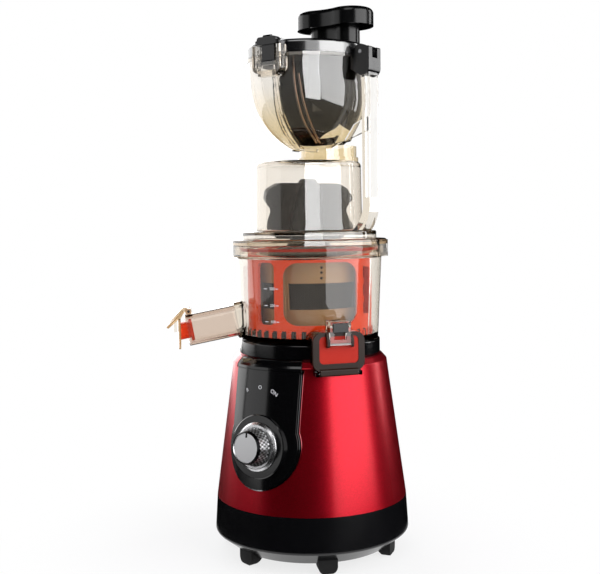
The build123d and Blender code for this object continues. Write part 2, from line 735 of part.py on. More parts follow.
def make_interlock_spring():
    """Coil spring between the pin's foot and the switch cup."""
    at = spot(INTERLOCK_R, INTERLOCK_ANGLE)
    wire = 0.4
    length = SPRING_LEN - 2 * wire
    path = Helix(pitch=length / SPRING_TURNS, height=length, radius=SPRING_R)
    section = Plane(origin=path @ 0, z_dir=path % 0) * Circle(wire)
    return Pos(at[0], at[1], PIN_LOW_Z - SPRING_LEN + wire) * sweep(section, path=path)


# ---- juicing bowl -----------------------------------------------------------------------------
def pin_way(radius, z, slack=0.0):
    """Hole for a cross pin of the pulp outlet; the pin is tight in the bowl's ears."""
    return turn_to(PULP_ANGLE) * Pos(0, -radius, z) * Rot(0, 90, 0) * Cylinder(CROSS_PIN_R + slack, 60)


def make_bowl():
    taper = (BOWL_RIM_R - BOWL_FOOT_R) / (BOWL_RIM_Z - BOWL_Z)
    bowl = turned(
        [
            (SLEEVE_BORE_R, BOWL_Z),
            (BOWL_FOOT_R, BOWL_Z),
            (BOWL_RIM_R, BOWL_RIM_Z),
            (FLANGE_R, FLANGE_Z),
            (FLANGE_R, LID_Z),
            (BOWL_RIM_R - WALL + 1, LID_Z),
            (BOWL_RIM_R - WALL, BOWL_RIM_Z + 2),
            (BOWL_FOOT_R - WALL + 3 * taper, FLOOR_Z),
            (SLEEVE_R, FLOOR_Z),
            (SLEEVE_R, SLEEVE_Z),
            (SLEEVE_BORE_R, SLEEVE_Z),
        ],
        [0, 1.5, 1, 1.5, 0.8, 0, 2, 3, 0, 0, 0],
    )
    pad = turn_to(PULP_ANGLE) * side_profile(
        [(BOWL_FOOT_R - 6, FLOOR_Z - 2), (PULP_FACE, FLOOR_Z - 2), (PULP_FACE, PULP_Z1),
         (BOWL_FOOT_R - 6, PULP_Z1)],
        PULP_W / 2,
    )
    pad -= disc(BOWL_FOOT_R - WALL / 2, FLOOR_Z - 5, PULP_Z1 + 5)
    apron = turn_to(PULP_ANGLE) * side_profile(
        [(PULP_BACK, PULP_Z0), (PULP_FACE, PULP_Z0), (PULP_FACE, PULP_Z1), (PULP_BACK, PULP_Z1)],
        PULP_W / 2,
    )
    outline = Plane.XZ * (Pos(0, (PULP_Z0 + PULP_Z1) / 2) * RectangleRounded(
        PULP_W, PULP_Z1 - PULP_Z0, PULP_CORNER))
    rounded = turn_to(PULP_ANGLE) * extrude(outline, amount=120, dir=(0, -1, 0))
    bowl += (pad + apron) & rounded
    bowl -= turn_to(PULP_ANGLE) * box(
        -PULP_HOLE_W / 2, PULP_HOLE_W / 2, -PULP_FACE - 1, -BRUSH_R_OUT - 2, FLOOR_Z, PULP_HOLE_Z)
    collar = spout_prism(SPOUT_W + 5, SPOUT_H + 5, SPOUT_CORNER + 2, -8, 2)
    collar -= disc(BOWL_FOOT_R - WALL / 2, BOWL_Z - 20, BOWL_RIM_Z)
    bowl += collar
    bowl -= spout_prism(SPOUT_W - 2 * SPOUT_WALL, SPOUT_H - 2 * SPOUT_WALL, SPOUT_CORNER - 2, -14, 8)
    for angle in LUG_ANGLES:
        bowl += sector(FLANGE_R + LUG_OUT, FLANGE_R - 1, LUG_Z0, LUG_Z0 + 3, angle, LUG_SPREAD)
    at = spot(IDLER_AXIS_R, IDLER_ANGLE)
    bowl += disc(IDLER_PIN_R, FLOOR_Z - 1, GEAR_TOP + 1, at)
    bowl += disc(IDLER_PIN_R + 2, FLOOR_Z - 1, GEAR_Z0 - RUN, at)
    bowl += ring(STRAINER_R0, STRAINER_R0 - 3, FLOOR_Z - 1, STRAINER_Z0) - disc(
        IDLER_TIP_R + 1.2, FLOOR_Z, SLEEVE_Z, at)
    for side in (-1, 1):
        x0, x1 = side * FLAP_EAR_AT - FLAP_EAR_HALF, side * FLAP_EAR_AT + FLAP_EAR_HALF
        back = box(x0, x1, -PULP_FACE, -PULP_BACK, FLAP_HINGE_Z - 2.2, PULP_Z0 + 4)
        front = box(x0, x1, -FLAP_FACE - 0.2, -PULP_FACE + 0.1, FLAP_HINGE_Z - 2.2, PULP_Z0 - 0.3)
        bowl += turn_to(PULP_ANGLE) * (back + front)
    strike = side_profile(
        [(BOWL_FOOT_R - 1, PULP_Z1 - 1), (STRIKE_R, PULP_Z1 - 1), (STRIKE_R, STRIKE_TOP_Z - 1),
         (STRIKE_R - 3, STRIKE_TOP_Z), (BOWL_FOOT_R - 1, STRIKE_TOP_Z + 2)],
        STRIKE_HALF_W, [0, 0, 0.8, 0.8, 0])
    bowl += turn_to(PULP_ANGLE) * strike - disc(BOWL_FOOT_R - WALL / 2, BOWL_Z, LATCH_TOP_Z + 10)
    return bowl - pin_way(FLAP_PIVOT_R, FLAP_HINGE_Z)


def make_spout():
    tube = spout_prism(SPOUT_W, SPOUT_H, SPOUT_CORNER, 2, SPOUT_LEN)
    for side in (-1, 1):
        ear = spout_place(SPOUT_LEN - 4) * Pos(side * (SPOUT_W / 2 - 5), SPOUT_H / 2 + 1.5, 0) * Box(
            2.4, 8, 6)
        tube += ear
    pin = spout_place(CAP_HINGE_ALONG) * Pos(0, CAP_HINGE_UP, 0) * Rot(0, 90, 0) * Cylinder(
        CROSS_PIN_R + PIN_SLACK, SPOUT_W)
    bore = spout_prism(
        SPOUT_W - 2 * SPOUT_WALL, SPOUT_H - 2 * SPOUT_WALL, SPOUT_CORNER - SPOUT_WALL, 0, SPOUT_LEN + 1)
    return tube - bore - pin


def make_cap():
    """Anti-drip cap: a hood with a thumb lever over an upright closing plate."""
    hood = [
        (CAP_HINGE_R, CAP_HINGE_Z + 2.5), (CAP_HINGE_R + 4, CAP_HINGE_Z + 4),
        (CAP_TIP_R, CAP_TIP_Z), (CAP_TIP_R - 1.8, CAP_TIP_Z - 1.6),
        (CAP_PLATE_R + 2, CAP_TIP_Z + 5.5), (CAP_PLATE_R, CAP_TIP_Z + 5.5),
        (CAP_HINGE_R + 3.2, CAP_HINGE_Z + 0.6), (CAP_HINGE_R, CAP_HINGE_Z - 2.2),
    ]
    beak = side_profile(hood, CAP_TONGUE_W / 2, [0.5, 3, 0.8, 0.6, 0, 0, 2, 0])
    beak += Pos(0, -CAP_HINGE_R, CAP_HINGE_Z) * Rot(0, 90, 0) * Cylinder(2.6, CAP_TONGUE_W)
    wide = side_profile(
        [(CAP_PLATE_R - 3.2, CAP_TIP_Z + 12.4), (CAP_PLATE_R - 2.4, CAP_TIP_Z + 14.4),
         (CAP_TIP_R, CAP_TIP_Z), (CAP_TIP_R - 1.8, CAP_TIP_Z - 1.6),
         (CAP_PLATE_R + 2, CAP_TIP_Z + 6.5)],
        SPOUT_W / 2, [0.6, 0.6, 0.6, 0.6, 0],
    )
    outline = Plane.XZ * (Pos(0, (CAP_Z0 + CAP_Z1) / 2) * RectangleRounded(
        SPOUT_W, CAP_Z1 - CAP_Z0, SPOUT_CORNER))
    plate = extrude(outline, amount=140, dir=(0, -1, 0)) & box(
        -40, 40, -CAP_PLATE_R - 2, -CAP_PLATE_R, CAP_Z0, CAP_Z1)
    web = box(-2, 2, -CAP_PLATE_R - 6, -CAP_PLATE_R - 1, CAP_TIP_Z - 6, CAP_TIP_Z + 5)
    hole = Pos(0, -CAP_HINGE_R, CAP_HINGE_Z) * Rot(0, 90, 0) * Cylinder(CROSS_PIN_R + PIN_SLACK, 60)
    return turn_to(SPOUT_ANGLE) * (beak + wide + plate + web - hole)


def make_cap_pin():
    return turn_to(SPOUT_ANGLE) * Pos(0, -CAP_HINGE_R, CAP_HINGE_Z) * Rot(0, 90, 0) * Cylinder(
        CROSS_PIN_R, SPOUT_W - 6)


def make_cap_plug():
    """Silicone plug on the cap's plate, with a lip that closes the spout."""
    width = SPOUT_W - 2 * SPOUT_WALL - 1.6
    height = SPOUT_H - 2 * SPOUT_WALL - 4.0
    lip = extrude(spout_place(SPOUT_LEN - 5) * RectangleRounded(width, height, SPOUT_CORNER - 3), 2.5)
    neck = extrude(
        spout_place(SPOUT_LEN - 4) * RectangleRounded(width - 6, height - 5, SPOUT_CORNER - 4), 20)
    neck &= turn_to(SPOUT_ANGLE) * box(-40, 40, -CAP_PLATE_R, -60, CAP_Z0, CAP_Z1 + 20)
    return lip + neck


def make_pulp_flap():
    """Framed door of the pulp outlet, hinged at its lower edge."""
    outline = Plane.XZ * (Pos(0, (PULP_Z0 + PULP_Z1) / 2) * RectangleRounded(
        PULP_W, PULP_Z1 - PULP_Z0, PULP_CORNER))
    window = Plane.XZ * (Pos(0, (WINDOW_Z0 + WINDOW_Z1) / 2) * RectangleRounded(
        WINDOW_W, WINDOW_Z1 - WINDOW_Z0, 4))
    frame = extrude(outline - window, amount=120, dir=(0, -1, 0)) & box(
        -40, 40, -FLAP_FACE, -PULP_FACE, PULP_Z0, PULP_Z1)
    lip = side_profile(
        [(PULP_FACE, FLAP_HINGE_Z - 2.2), (FLAP_FACE + 1.4, FLAP_HINGE_Z - 2.2),
         (FLAP_FACE + 1.4, FLAP_HINGE_Z + 3), (FLAP_FACE - 0.4, FLAP_HINGE_Z + 4.4),
         (PULP_FACE, FLAP_HINGE_Z + 4.4)],
        FLAP_LIP_W / 2, [1.6, 1.2, 1, 0, 0],
    )
    door = frame + lip
    for side in (-1, 1):
        ear = side_profile(
            [(FLAP_FACE - 0.5, PULP_Z1 - 0.6), (FLAP_FACE - 0.5, WINDOW_Z1 + 0.3),
             (FLAP_FACE + 0.2, WINDOW_Z1 - 0.6), (FLAP_FACE + 0.2, LATCH_PIVOT_Z - 2.4),
             (LATCH_PIVOT_R + 2.2, LATCH_PIVOT_Z - 2.4), (LATCH_PIVOT_R + 2.2, LATCH_PIVOT_Z + 3),
             (FLAP_FACE + 1.5, PULP_Z1 - 0.6)],
            EAR_T / 2, [0, 0, 0, 0.8, 1.6, 1.6, 0.5])
        door += Pos(side * (LATCH_BAR_W / 2 + RUN + EAR_T / 2), 0, 0) * ear
    door = turn_to(PULP_ANGLE) * door
    return door - pin_way(FLAP_PIVOT_R, FLAP_HINGE_Z, PIN_SLACK) - pin_way(LATCH_PIVOT_R, LATCH_PIVOT_Z)


def make_pulp_seal():
    """Silicone pressure plug in the door's window, reaching into the outlet."""
    window = Plane.XZ * (Pos(0, (WINDOW_Z0 + WINDOW_Z1) / 2) * RectangleRounded(
        WINDOW_W, WINDOW_Z1 - WINDOW_Z0, 4))
    pane = extrude(window, amount=120, dir=(0, -1, 0)) & box(
        -40, 40, -FLAP_FACE + 0.6, -PULP_FACE, WINDOW_Z0, WINDOW_Z1)
    plug = side_profile(
        [(PULP_FACE - 9, FLOOR_Z + 3), (PULP_FACE - 9, PULP_HOLE_Z - 2.5),
         (PULP_FACE, PULP_HOLE_Z - 0.8), (PULP_FACE, FLOOR_Z + 0.8)],
        PULP_HOLE_W / 2 - 1.0,
    )
    return turn_to(PULP_ANGLE) * (pane + plug)


def make_pulp_latch():
    """Clear stirrup that turns on the door and hooks in front of the bowl's strike bar."""
    back, front = LATCH_PIVOT_R - 1.6, LATCH_PIVOT_R + 1.6
    top = LATCH_TOP_Z
    arm = [
        (back, LATCH_PIVOT_Z - 2.1), (front, LATCH_PIVOT_Z - 2.1), (front, top), (STRIKE_R + 0.5, top),
        (STRIKE_R + 0.5, STRIKE_Z), (back, STRIKE_Z),
    ]
    frame = side_profile(arm, LATCH_BAR_W / 2, [1.4, 1.4, 2, 0.8, 0.8, 1.2])
    window = box(-5.5, 5.5, -front - 1, -back + 1, LATCH_PIVOT_Z + 4, STRIKE_Z - 5)
    pocket = box(-PAD_HALF_W, PAD_HALF_W, -front - 1, -front + 1, PAD_Z0, PAD_Z1)
    latch = turn_to(PULP_ANGLE) * (frame - window - pocket)
    return latch - pin_way(LATCH_PIVOT_R, LATCH_PIVOT_Z, PIN_SLACK)


def make_latch_pad():
    """Black finger pad let into the latch."""
    face = LATCH_PIVOT_R + 1.6
    pad = box(-PAD_HALF_W, PAD_HALF_W, -face - 0.8, -face + 1, PAD_Z0, PAD_Z1)
    return turn_to(PULP_ANGLE) * fillet(pad.edges().group_by(Axis.Y)[0], 0.5)


def cross_pin(angle, radius, z, half):
    return turn_to(angle) * Pos(0, -radius, z) * Rot(0, 90, 0) * Cylinder(CROSS_PIN_R, 2 * half)


# ---- strainer, brush, auger -------------------------------------------------------------------
def strainer_radius(z):
    return STRAINER_R0 + (STRAINER_R1 - STRAINER_R0) * (z - STRAINER_Z0) / (STRAINER_Z1 - STRAINER_Z0)


def make_strainer():
    """Moulded cup of the strainer, with a window band for the mesh and a rim."""
    cup = turned(
        [
            (SLEEVE_R + 8, STRAINER_Z0),
            (STRAINER_R0, STRAINER_Z0),
            (STRAINER_R1, STRAINER_Z1),
            (STRAINER_R1 + 2.0, STRAINER_Z1),
            (STRAINER_R1 + 2.0, STRAINER_Z1 + 2),
            (STRAINER_R1 - STRAINER_WALL, STRAINER_Z1 + 2),
            (STRAINER_R0 - STRAINER_WALL, STRAINER_Z0 + STRAINER_WALL),
            (SLEEVE_R + 8, STRAINER_Z0 + STRAINER_WALL),
        ],
        [0, 1.5, 0, 0, 0.6, 0, 1, 0],
    )
    for k, start in enumerate(STRAINER_POSTS):
        end = (STRAINER_POSTS + (STRAINER_POSTS[0] + 360,))[k + 1]
        spread = end - start - STRAINER_POST
        cup -= sector(STRAINER_R1 + 5, STRAINER_R0 - 6, MESH_Z0, MESH_Z1, (start + end) / 2, spread)
        cup += turn_to(start) * box(
            -0.8, 0.8, -strainer_radius(MESH_Z1) - 0.6, -STRAINER_R0 - 0.3, MESH_Z0 - 8, MESH_Z1 + 10)
    return cup


def make_mesh():
    """Steel mesh drum inside the strainer's window band."""
    def seat(z):
        rise = (z - STRAINER_Z0 - STRAINER_WALL) / (STRAINER_Z1 + 2 - STRAINER_Z0 - STRAINER_WALL)
        return STRAINER_R0 - STRAINER_WALL + (STRAINER_R1 - STRAINER_R0) * rise
    low, high = MESH_Z0 - 2, MESH_Z1 + 2
    return turned([
        (seat(low) - MESH_T, low), (seat(low), low), (seat(high), high), (seat(high) - MESH_T, high),
    ])


def make_brush_frame():
    """Spinning frame: toothed lower ring, wide and narrow windows, and a top ring."""
    drum = ring(BRUSH_R_OUT, BRUSH_R_IN, BRUSH_Z0, BRUSH_TOP_Z)
    drum += ring(BRUSH_R_OUT, BRUSH_GEAR_OUT, BRUSH_Z0, GEAR_TOP)
    middle_z = (BRUSH_WINDOW_Z0 + BRUSH_WINDOW_Z1) / 2
    for angle, spread, corner in BRUSH_WINDOWS:
        width = 2 * BRUSH_R_OUT * sin(radians(spread / 2))
        opening = Plane.XZ * (Pos(0, middle_z) * RectangleRounded(
            width, BRUSH_WINDOW_Z1 - BRUSH_WINDOW_Z0, corner))
        window = extrude(opening, amount=80, dir=(0, -1, 0))
        drum -= turn_to(angle) * window
        drum -= turn_to(angle + 180) * window
    for angle in BRUSH_BLADES:
        for slot_z in SLOT_Z:
            drum -= turn_to(angle) * box(
                -2.2, 2.2, -BRUSH_R_OUT - 2, -BRUSH_R_IN + 2, slot_z, slot_z + SLOT_H)
    drum -= ring_gear_bore(
        BOWL_MODULE, BRUSH_TEETH, BRUSH_Z0 - 1, GEAR_T + 3, phase=RING_PHASE)
    cog = box(-1.6, 1.6, -BRUSH_R_OUT - 1.6, -BRUSH_R_OUT + 0.4, BRUSH_Z0, GEAR_Z0 + 5)
    step = 360 / BRUSH_COGS
    return drum + [turn_to(step * k) * cog for k in range(BRUSH_COGS)]


def make_wipers():
    """Silicone blades in the slots: one edge wipes the bowl, the other the strainer."""
    blades = []
    for angle in BRUSH_BLADES:
        blade = box(-0.9, 0.9, -WIPER_OUT, -WIPER_IN, SLOT_Z[0] + 0.5, SLOT_Z[-1] + SLOT_H - 0.5)
        for low, high in zip(SLOT_Z, SLOT_Z[1:]):
            blade -= box(-3, 3, -BRUSH_R_OUT - 0.01, -BRUSH_R_IN + 0.01, low + SLOT_H, high)
        blades.append(turn_to(angle) * blade)
    return blades


def make_auger():
    """Squeezing screw: a core with two flights wound round it, on a hexagonal bore."""
    core = turned(
        [(0, AUGER_Z0), (AUGER_R, AUGER_Z0), (AUGER_R, AUGER_Z0 + 3), (AUGER_CORE_R + 7, AUGER_Z0 + 16),
         (AUGER_CORE_R, AUGER_TOP_Z - 14), (CUTTER_HUB_R + 2, AUGER_TOP_Z), (0, AUGER_TOP_Z)],
        [0, 0, 1, 6, 8, 0, 0],
    )
    fins = Rectangle(2 * AUGER_R, 6.5)
    face = (Pos(0, 0, AUGER_Z0) * fins).face()
    rise = (0, 0, AUGER_TOP_Z - AUGER_Z0)
    wound = Solid.extrude_linear_with_rotation(face, (0, 0, AUGER_Z0), rise, AUGER_TURN)
    envelope = turned([
        (0, AUGER_Z0), (AUGER_R - 0.1, AUGER_Z0), (AUGER_R - 0.1, AUGER_TOP_Z - 20),
        (AUGER_CORE_R + 4, AUGER_TOP_Z), (0, AUGER_TOP_Z),
    ])
    auger = core + (wound & envelope)
    auger += disc(AUGER_HUB_R, GEAR_TOP, AUGER_Z0)
    auger += gear(BOWL_MODULE, AUGER_TEETH, GEAR_Z0, GEAR_T)
    bore = disc(SLEEVE_R + RUN + 0.4, GEAR_Z0 - 1, SLEEVE_Z + 0.8)
    return auger - bore - hex_bar(HEX_ACROSS + 2 * RUN, GEAR_Z0, HEX_TOP_Z + 1)


def hex_bar(across, z0, z1):
    return extrude(Pos(0, 0, z0) * RegularPolygon(across / 2, 6, major_radius=False), z1 - z0)


def make_cutter():
    """Feed cutter on the auger: a tapered hub with two swept blades."""
    hub = turned(
        [(0, AUGER_TOP_Z), (CUTTER_HUB_R + 2, AUGER_TOP_Z), (CUTTER_HUB_R - 3, CUTTER_TOP_Z - 8),
         (CUTTER_HUB_R - 8, CUTTER_TOP_Z), (0, CUTTER_TOP_Z)],
        [0, 0, 6, 3, 0],
    )
    blade = (Pos(0, 0, AUGER_TOP_Z) * Rectangle(2 * CUTTER_R, CUTTER_BLADE)).face()
    rise = (0, 0, CUTTER_TOP_Z - AUGER_TOP_Z - 4)
    wound = Solid.extrude_linear_with_rotation(blade, (0, 0, AUGER_TOP_Z), rise, CUTTER_TURN)
    envelope = turned(
        [(0, AUGER_TOP_Z), (CUTTER_R - 9, AUGER_TOP_Z), (CUTTER_R, AUGER_TOP_Z + 8), (CUTTER_R - 7, 312),
         (CUTTER_R - 0.2, 322), (CUTTER_R - 0.2, 331), (CUTTER_R - 8, CUTTER_TOP_Z - 4),
         (0, CUTTER_TOP_Z - 4)],
        [0, 3, 4, 6, 4, 4, 3, 0],
    )
    return hub + (wound & envelope)


def make_idler():
    at = spot(IDLER_AXIS_R, IDLER_ANGLE)
    wheel = gear(BOWL_MODULE, IDLER_TEETH, GEAR_Z0, GEAR_T, phase=IDLER_PHASE)
    wheel -= disc(IDLER_PIN_R + 0.08, GEAR_Z0 - 1, GEAR_TOP + 1)
    return Pos(at[0], at[1], 0) * wheel


# ---- chamber lid, hopper, handle ---------------------------------------------------------------
def make_chamber_lid():
    inner = CHAMBER_R - WALL
    skirt_r = BOWL_RIM_R - WALL - FIT
    body = turned(
        [
            (STEP_R - WALL, STEP_Z - WALL),
            (STEP_R - WALL, LID_TOP_Z - WALL),
            (skirt_r - 2.4, LID_TOP_Z - WALL),
            (skirt_r - 2.4, LID_Z - 7),
            (skirt_r, LID_Z - 7),
            (skirt_r, LID_Z - 5),
            (skirt_r - SEAL_DEPTH, LID_Z - 5),
            (skirt_r - SEAL_DEPTH, LID_Z - 5 + SEAL_T),
            (skirt_r, LID_Z - 5 + SEAL_T),
            (skirt_r, LID_Z),
            (FLANGE_R, LID_Z),
            (FLANGE_R, LID_TOP_Z),
            (STEP_R, LID_TOP_Z),
            (STEP_R, STEP_Z),
            (CHAMBER_R + 1, STEP_Z),
            (CHAMBER_R, CHAMBER_TOP_Z),
            (0, CHAMBER_TOP_Z),
            (0, CHAMBER_TOP_Z - WALL),
            (inner - 0.5, CHAMBER_TOP_Z - WALL),
            (inner, STEP_Z - WALL),
        ],
        [1, 1, 0, 0, 0, 0, 0, 0, 0, 0, 0, 1.2, 0.5, 1.2, 2, 4, 0, 0, 3, 1],
    )
    body -= disc(NECK_R - HOPPER_WALL + 0.1, CHAMBER_TOP_Z - 10, CHAMBER_TOP_Z + 10, NECK_AT)
    for angle in LUG_ANGLES:
        out = FLANGE_R + LUG_OUT + RUN + 1.4
        hook = sector(out, FLANGE_R + LUG_OUT + RUN, LUG_Z0 - 4, LID_TOP_Z - 0.8, angle, LUG_SPREAD)
        hook += sector(out, FLANGE_R - 0.5, LID_Z + 0.5, LID_TOP_Z - 0.8, angle, LUG_SPREAD)
        hook += sector(out, FLANGE_R + RUN, LUG_Z0 - 4, LUG_Z0 - RUN, angle, LUG_SPREAD)
        body += hook
    return body


def hopper_cavity(margin=0.0):
    """Space inside the hopper's wall, kept clear of it by a margin."""
    return lofted(HOPPER_SECTIONS, NECK_AT, HOPPER_WALL + margin)


def make_hopper():
    outer = lofted(HOPPER_SECTIONS, NECK_AT)
    cavity = hopper_cavity()
    shell = outer - cavity
    neck = disc(NECK_R, CHAMBER_TOP_Z, NECK_TOP_Z + 3, NECK_AT)
    neck += disc(NECK_R + 1.6, CHAMBER_TOP_Z, CHAMBER_TOP_Z + 4, NECK_AT)
    bore = disc(NECK_R - HOPPER_WALL, CHAMBER_TOP_Z - 1, NECK_TOP_Z + 8, NECK_AT)
    shell = (shell + (neck - cavity)) - bore
    shell += ring(HOPPER_RIM_R + 1.0, HOPPER_RIM_R - HOPPER_WALL, HOPPER_RIM_Z - 3, HOPPER_RIM_Z)
    band = cavity - hopper_cavity(RIB_DEPTH) - disc(HOPPER_RIM_R, HOPPER_RIM_Z - 8, HOPPER_RIM_Z + 5)
    band -= bore
    centre = (NECK_AT[0] * 0.5, NECK_AT[1] * 0.5)
    for angle in HOPPER_RIBS:
        blade = Pos(centre[0], centre[1], 0) * turn_to(angle) * box(
            -RIB_T / 2, RIB_T / 2, -80, -14, NECK_TOP_Z, HOPPER_RIM_Z)
        shell += band & blade
    return shell + make_latch_pocket()


def make_hinge_block():
    """Block on the rim with two cheeks for the lid's pin and a D-shaped outer end."""
    body = FilletPolyline(
        (HOPPER_RIM_R - 0.6, BLOCK_Z0 + 6), (HINGE_X, BLOCK_Z0), (BLOCK_OUT, BLOCK_Z0),
        (BLOCK_OUT, HINGE_Z + 4), (HINGE_X, HINGE_Z + 4), (HINGE_X, HINGE_Z - 1.5),
        (HOPPER_RIM_R - 0.6, HINGE_Z - 1.5),
        radius=[0, 3, 7, 1, 0, 0, 0], close=True,
    )
    plane = Plane(origin=(0, HINGE_HALF_W, 0), x_dir=(1, 0, 0), z_dir=(0, -1, 0))
    block = extrude(make_face(plane * body), amount=2 * HINGE_HALF_W, dir=(0, -1, 0))
    cheek = Pos(HINGE_X, 0, HINGE_Z) * Rot(90, 0, 0) * Cylinder(CHEEK_R, 2 * HINGE_HALF_W)
    block += cheek
    slot = box(HOPPER_RIM_R + 1.4, BLOCK_OUT + 5, -TONGUE_HALF_W, TONGUE_HALF_W,
               HINGE_Z - HINGE_KNUCKLE_R - 0.8, HINGE_Z + 20)
    hole = Pos(HINGE_X, 0, HINGE_Z) * Rot(90, 0, 0) * Cylinder(PIN_R, 60)
    half = COLUMN_W / 2 + FIT
    pocket = box(COLUMN_IN - FIT, COLUMN_OUT + FIT, -half, half, BLOCK_Z0 - 1, COLUMN_TOP)
    hopper = lofted(HOPPER_SECTIONS, NECK_AT) + disc(HOPPER_RIM_R + 1.0, HOPPER_RIM_Z - 3, HOPPER_RIM_Z)
    return block - slot - hole - pocket - hopper


def make_latch_pocket():
    """U-shaped pocket at the front of the rim, ribbed inside, open at the top."""
    outline = Plane.XZ * FilletPolyline(
        (-LATCH_W / 2, LATCH_Z1), (-LATCH_W / 2, LATCH_Z0), (LATCH_W / 2, LATCH_Z0),
        (LATCH_W / 2, LATCH_Z1),
        radius=[0, 6, 6, 0], close=True,
    )
    pocket = extrude(make_face(outline), amount=LATCH_FRONT, dir=(0, -1, 0))
    pocket -= box(-LATCH_W / 2 + 2.4, LATCH_W / 2 - 2.4, -LATCH_FRONT + 1.8, -20, LATCH_Z0 + 2.4, 500)
    pocket -= box(-LATCH_W / 2 + 4.5, LATCH_W / 2 - 4.5, -LATCH_FRONT - 5, -20, LATCH_Z1 - 14, 500)
    for side in (-1, 1):
        pocket += box(
            side * 10.4 - 0.7, side * 10.4 + 0.7, -LATCH_FRONT + 1.7, -52.5, LATCH_Z0 + 2, LATCH_Z1 - 3)
    pocket += box(-9.5, 9.5, -LATCH_FRONT + 0.6, -52, LATCH_Z0 - 2.4, LATCH_Z0 + 1)
    pocket -= disc(HOPPER_RIM_R - 0.4, LATCH_Z0 - 20, HOPPER_RIM_Z)
    pocket -= disc(COVER_R + 0.5, HOPPER_RIM_Z, 520)
    return pocket


def make_column():
    """Handle column: a channel from the hinge block down to the lid's step, curved at its foot."""
    sweep_r, foot = 36.0, STEP_Z
    centre = (COLUMN_OUT - sweep_r, 316.0)
    def on_arc(radius, z):
        return (centre[0] + sqrt(radius ** 2 - (centre[1] - z) ** 2), z)
    inner_r = sweep_r - (COLUMN_OUT - COLUMN_IN)
    mid_z = (centre[1] + foot) / 2
    outline = (
        Line((COLUMN_OUT, COLUMN_TOP), (COLUMN_OUT, centre[1]))
        + ThreePointArc((COLUMN_OUT, centre[1]), on_arc(sweep_r, mid_z), on_arc(sweep_r, foot))
        + Line(on_arc(sweep_r, foot), on_arc(inner_r, foot))
        + ThreePointArc(on_arc(inner_r, foot), on_arc(inner_r, mid_z), (COLUMN_IN, centre[1]))
        + Line((COLUMN_IN, centre[1]), (COLUMN_IN, COLUMN_TOP))
        + Line((COLUMN_IN, COLUMN_TOP), (COLUMN_OUT, COLUMN_TOP))
    )
    plane = Plane(origin=(0, COLUMN_W / 2, 0), x_dir=(1, 0, 0), z_dir=(0, -1, 0))
    column = extrude(make_face(plane * outline), amount=COLUMN_W, dir=(0, -1, 0))
    column -= box(
        COLUMN_IN + 2, COLUMN_OUT + 1, -COLUMN_W / 2 + 2, COLUMN_W / 2 - 2, centre[1] + 6, COLUMN_TOP - 6)
    web = [(50.0, 386.0), (COLUMN_IN + 0.2, 392.0), (COLUMN_IN + 0.2, 380.0), (40.0, 372.0)]
    rib = extrude(make_face(plane * Polyline(*web, close=True)), amount=COLUMN_W, dir=(0, -1, 0))
    rib &= box(0, 90, -1.6, 1.6, 300, 460)
    rib -= lofted(HOPPER_SECTIONS, NECK_AT)
    return column + rib


# ---- hopper lid, feed tube, latch, pusher ------------------------------------------------------
def make_cover():
    spigot = HOPPER_RIM_R - HOPPER_WALL - 1
    cover = turned(
        [
            (0, HOPPER_RIM_Z + 6), (spigot - 2, HOPPER_RIM_Z + 6), (spigot - 2, HOPPER_RIM_Z - 2.5),
            (spigot, HOPPER_RIM_Z - 2.5), (spigot, HOPPER_RIM_Z),
            (COVER_R, HOPPER_RIM_Z), (COVER_R, COVER_TOP_Z), (0, COVER_TOP_Z),
        ],
        [0, 2, 0, 0, 0, 0, 3, 0],
    )
    well = bean(STEM_HALF, STEM_LOBE + RUN + TUBE_WALL + 0.05, STEM_WAIST - RUN - TUBE_WALL - 0.05)
    cover -= raised(well, HOPPER_RIM_Z - 20, COVER_TOP_Z + 5, FEED_AT)
    half = TONGUE_HALF_W - RUN
    arm = box(COVER_R - 5, HINGE_X, -half, half, HOPPER_RIM_Z + 1, HINGE_Z + 4.4)
    arm -= disc(COVER_R - 1, HOPPER_RIM_Z - 10, COVER_TOP_Z + 10)
    knuckle = Pos(HINGE_X, 0, HINGE_Z) * Rot(90, 0, 0) * Cylinder(HINGE_KNUCKLE_R, 2 * half)
    hole = Pos(HINGE_X, 0, HINGE_Z) * Rot(90, 0, 0) * Cylinder(PIN_R + PIN_SLACK, 60)
    cover += arm + knuckle
    half = BUTTON_HALF_W + RUN
    notch = box(-half, half, -70, -BUTTON_BACK, HOPPER_RIM_Z - 5, COVER_TOP_Z + 5)
    for side in (-1, 1):
        ear = side_profile(
            [(COVER_R - 6, BUTTON_Z0), (BUTTON_PIN_Y + 2.6, BUTTON_Z0), (BUTTON_PIN_Y + 2.6, COVER_TOP_Z),
             (COVER_R - 6, COVER_TOP_Z)],
            1.5, [0, 1, 2, 0])
        cover += Pos(side * (half + 1.5), 0, 0) * ear
    pin_way = Pos(0, -BUTTON_PIN_Y, BUTTON_PIN_Z) * Rot(0, 90, 0) * Cylinder(CROSS_PIN_R, 60)
    return cover - hole - notch - pin_way


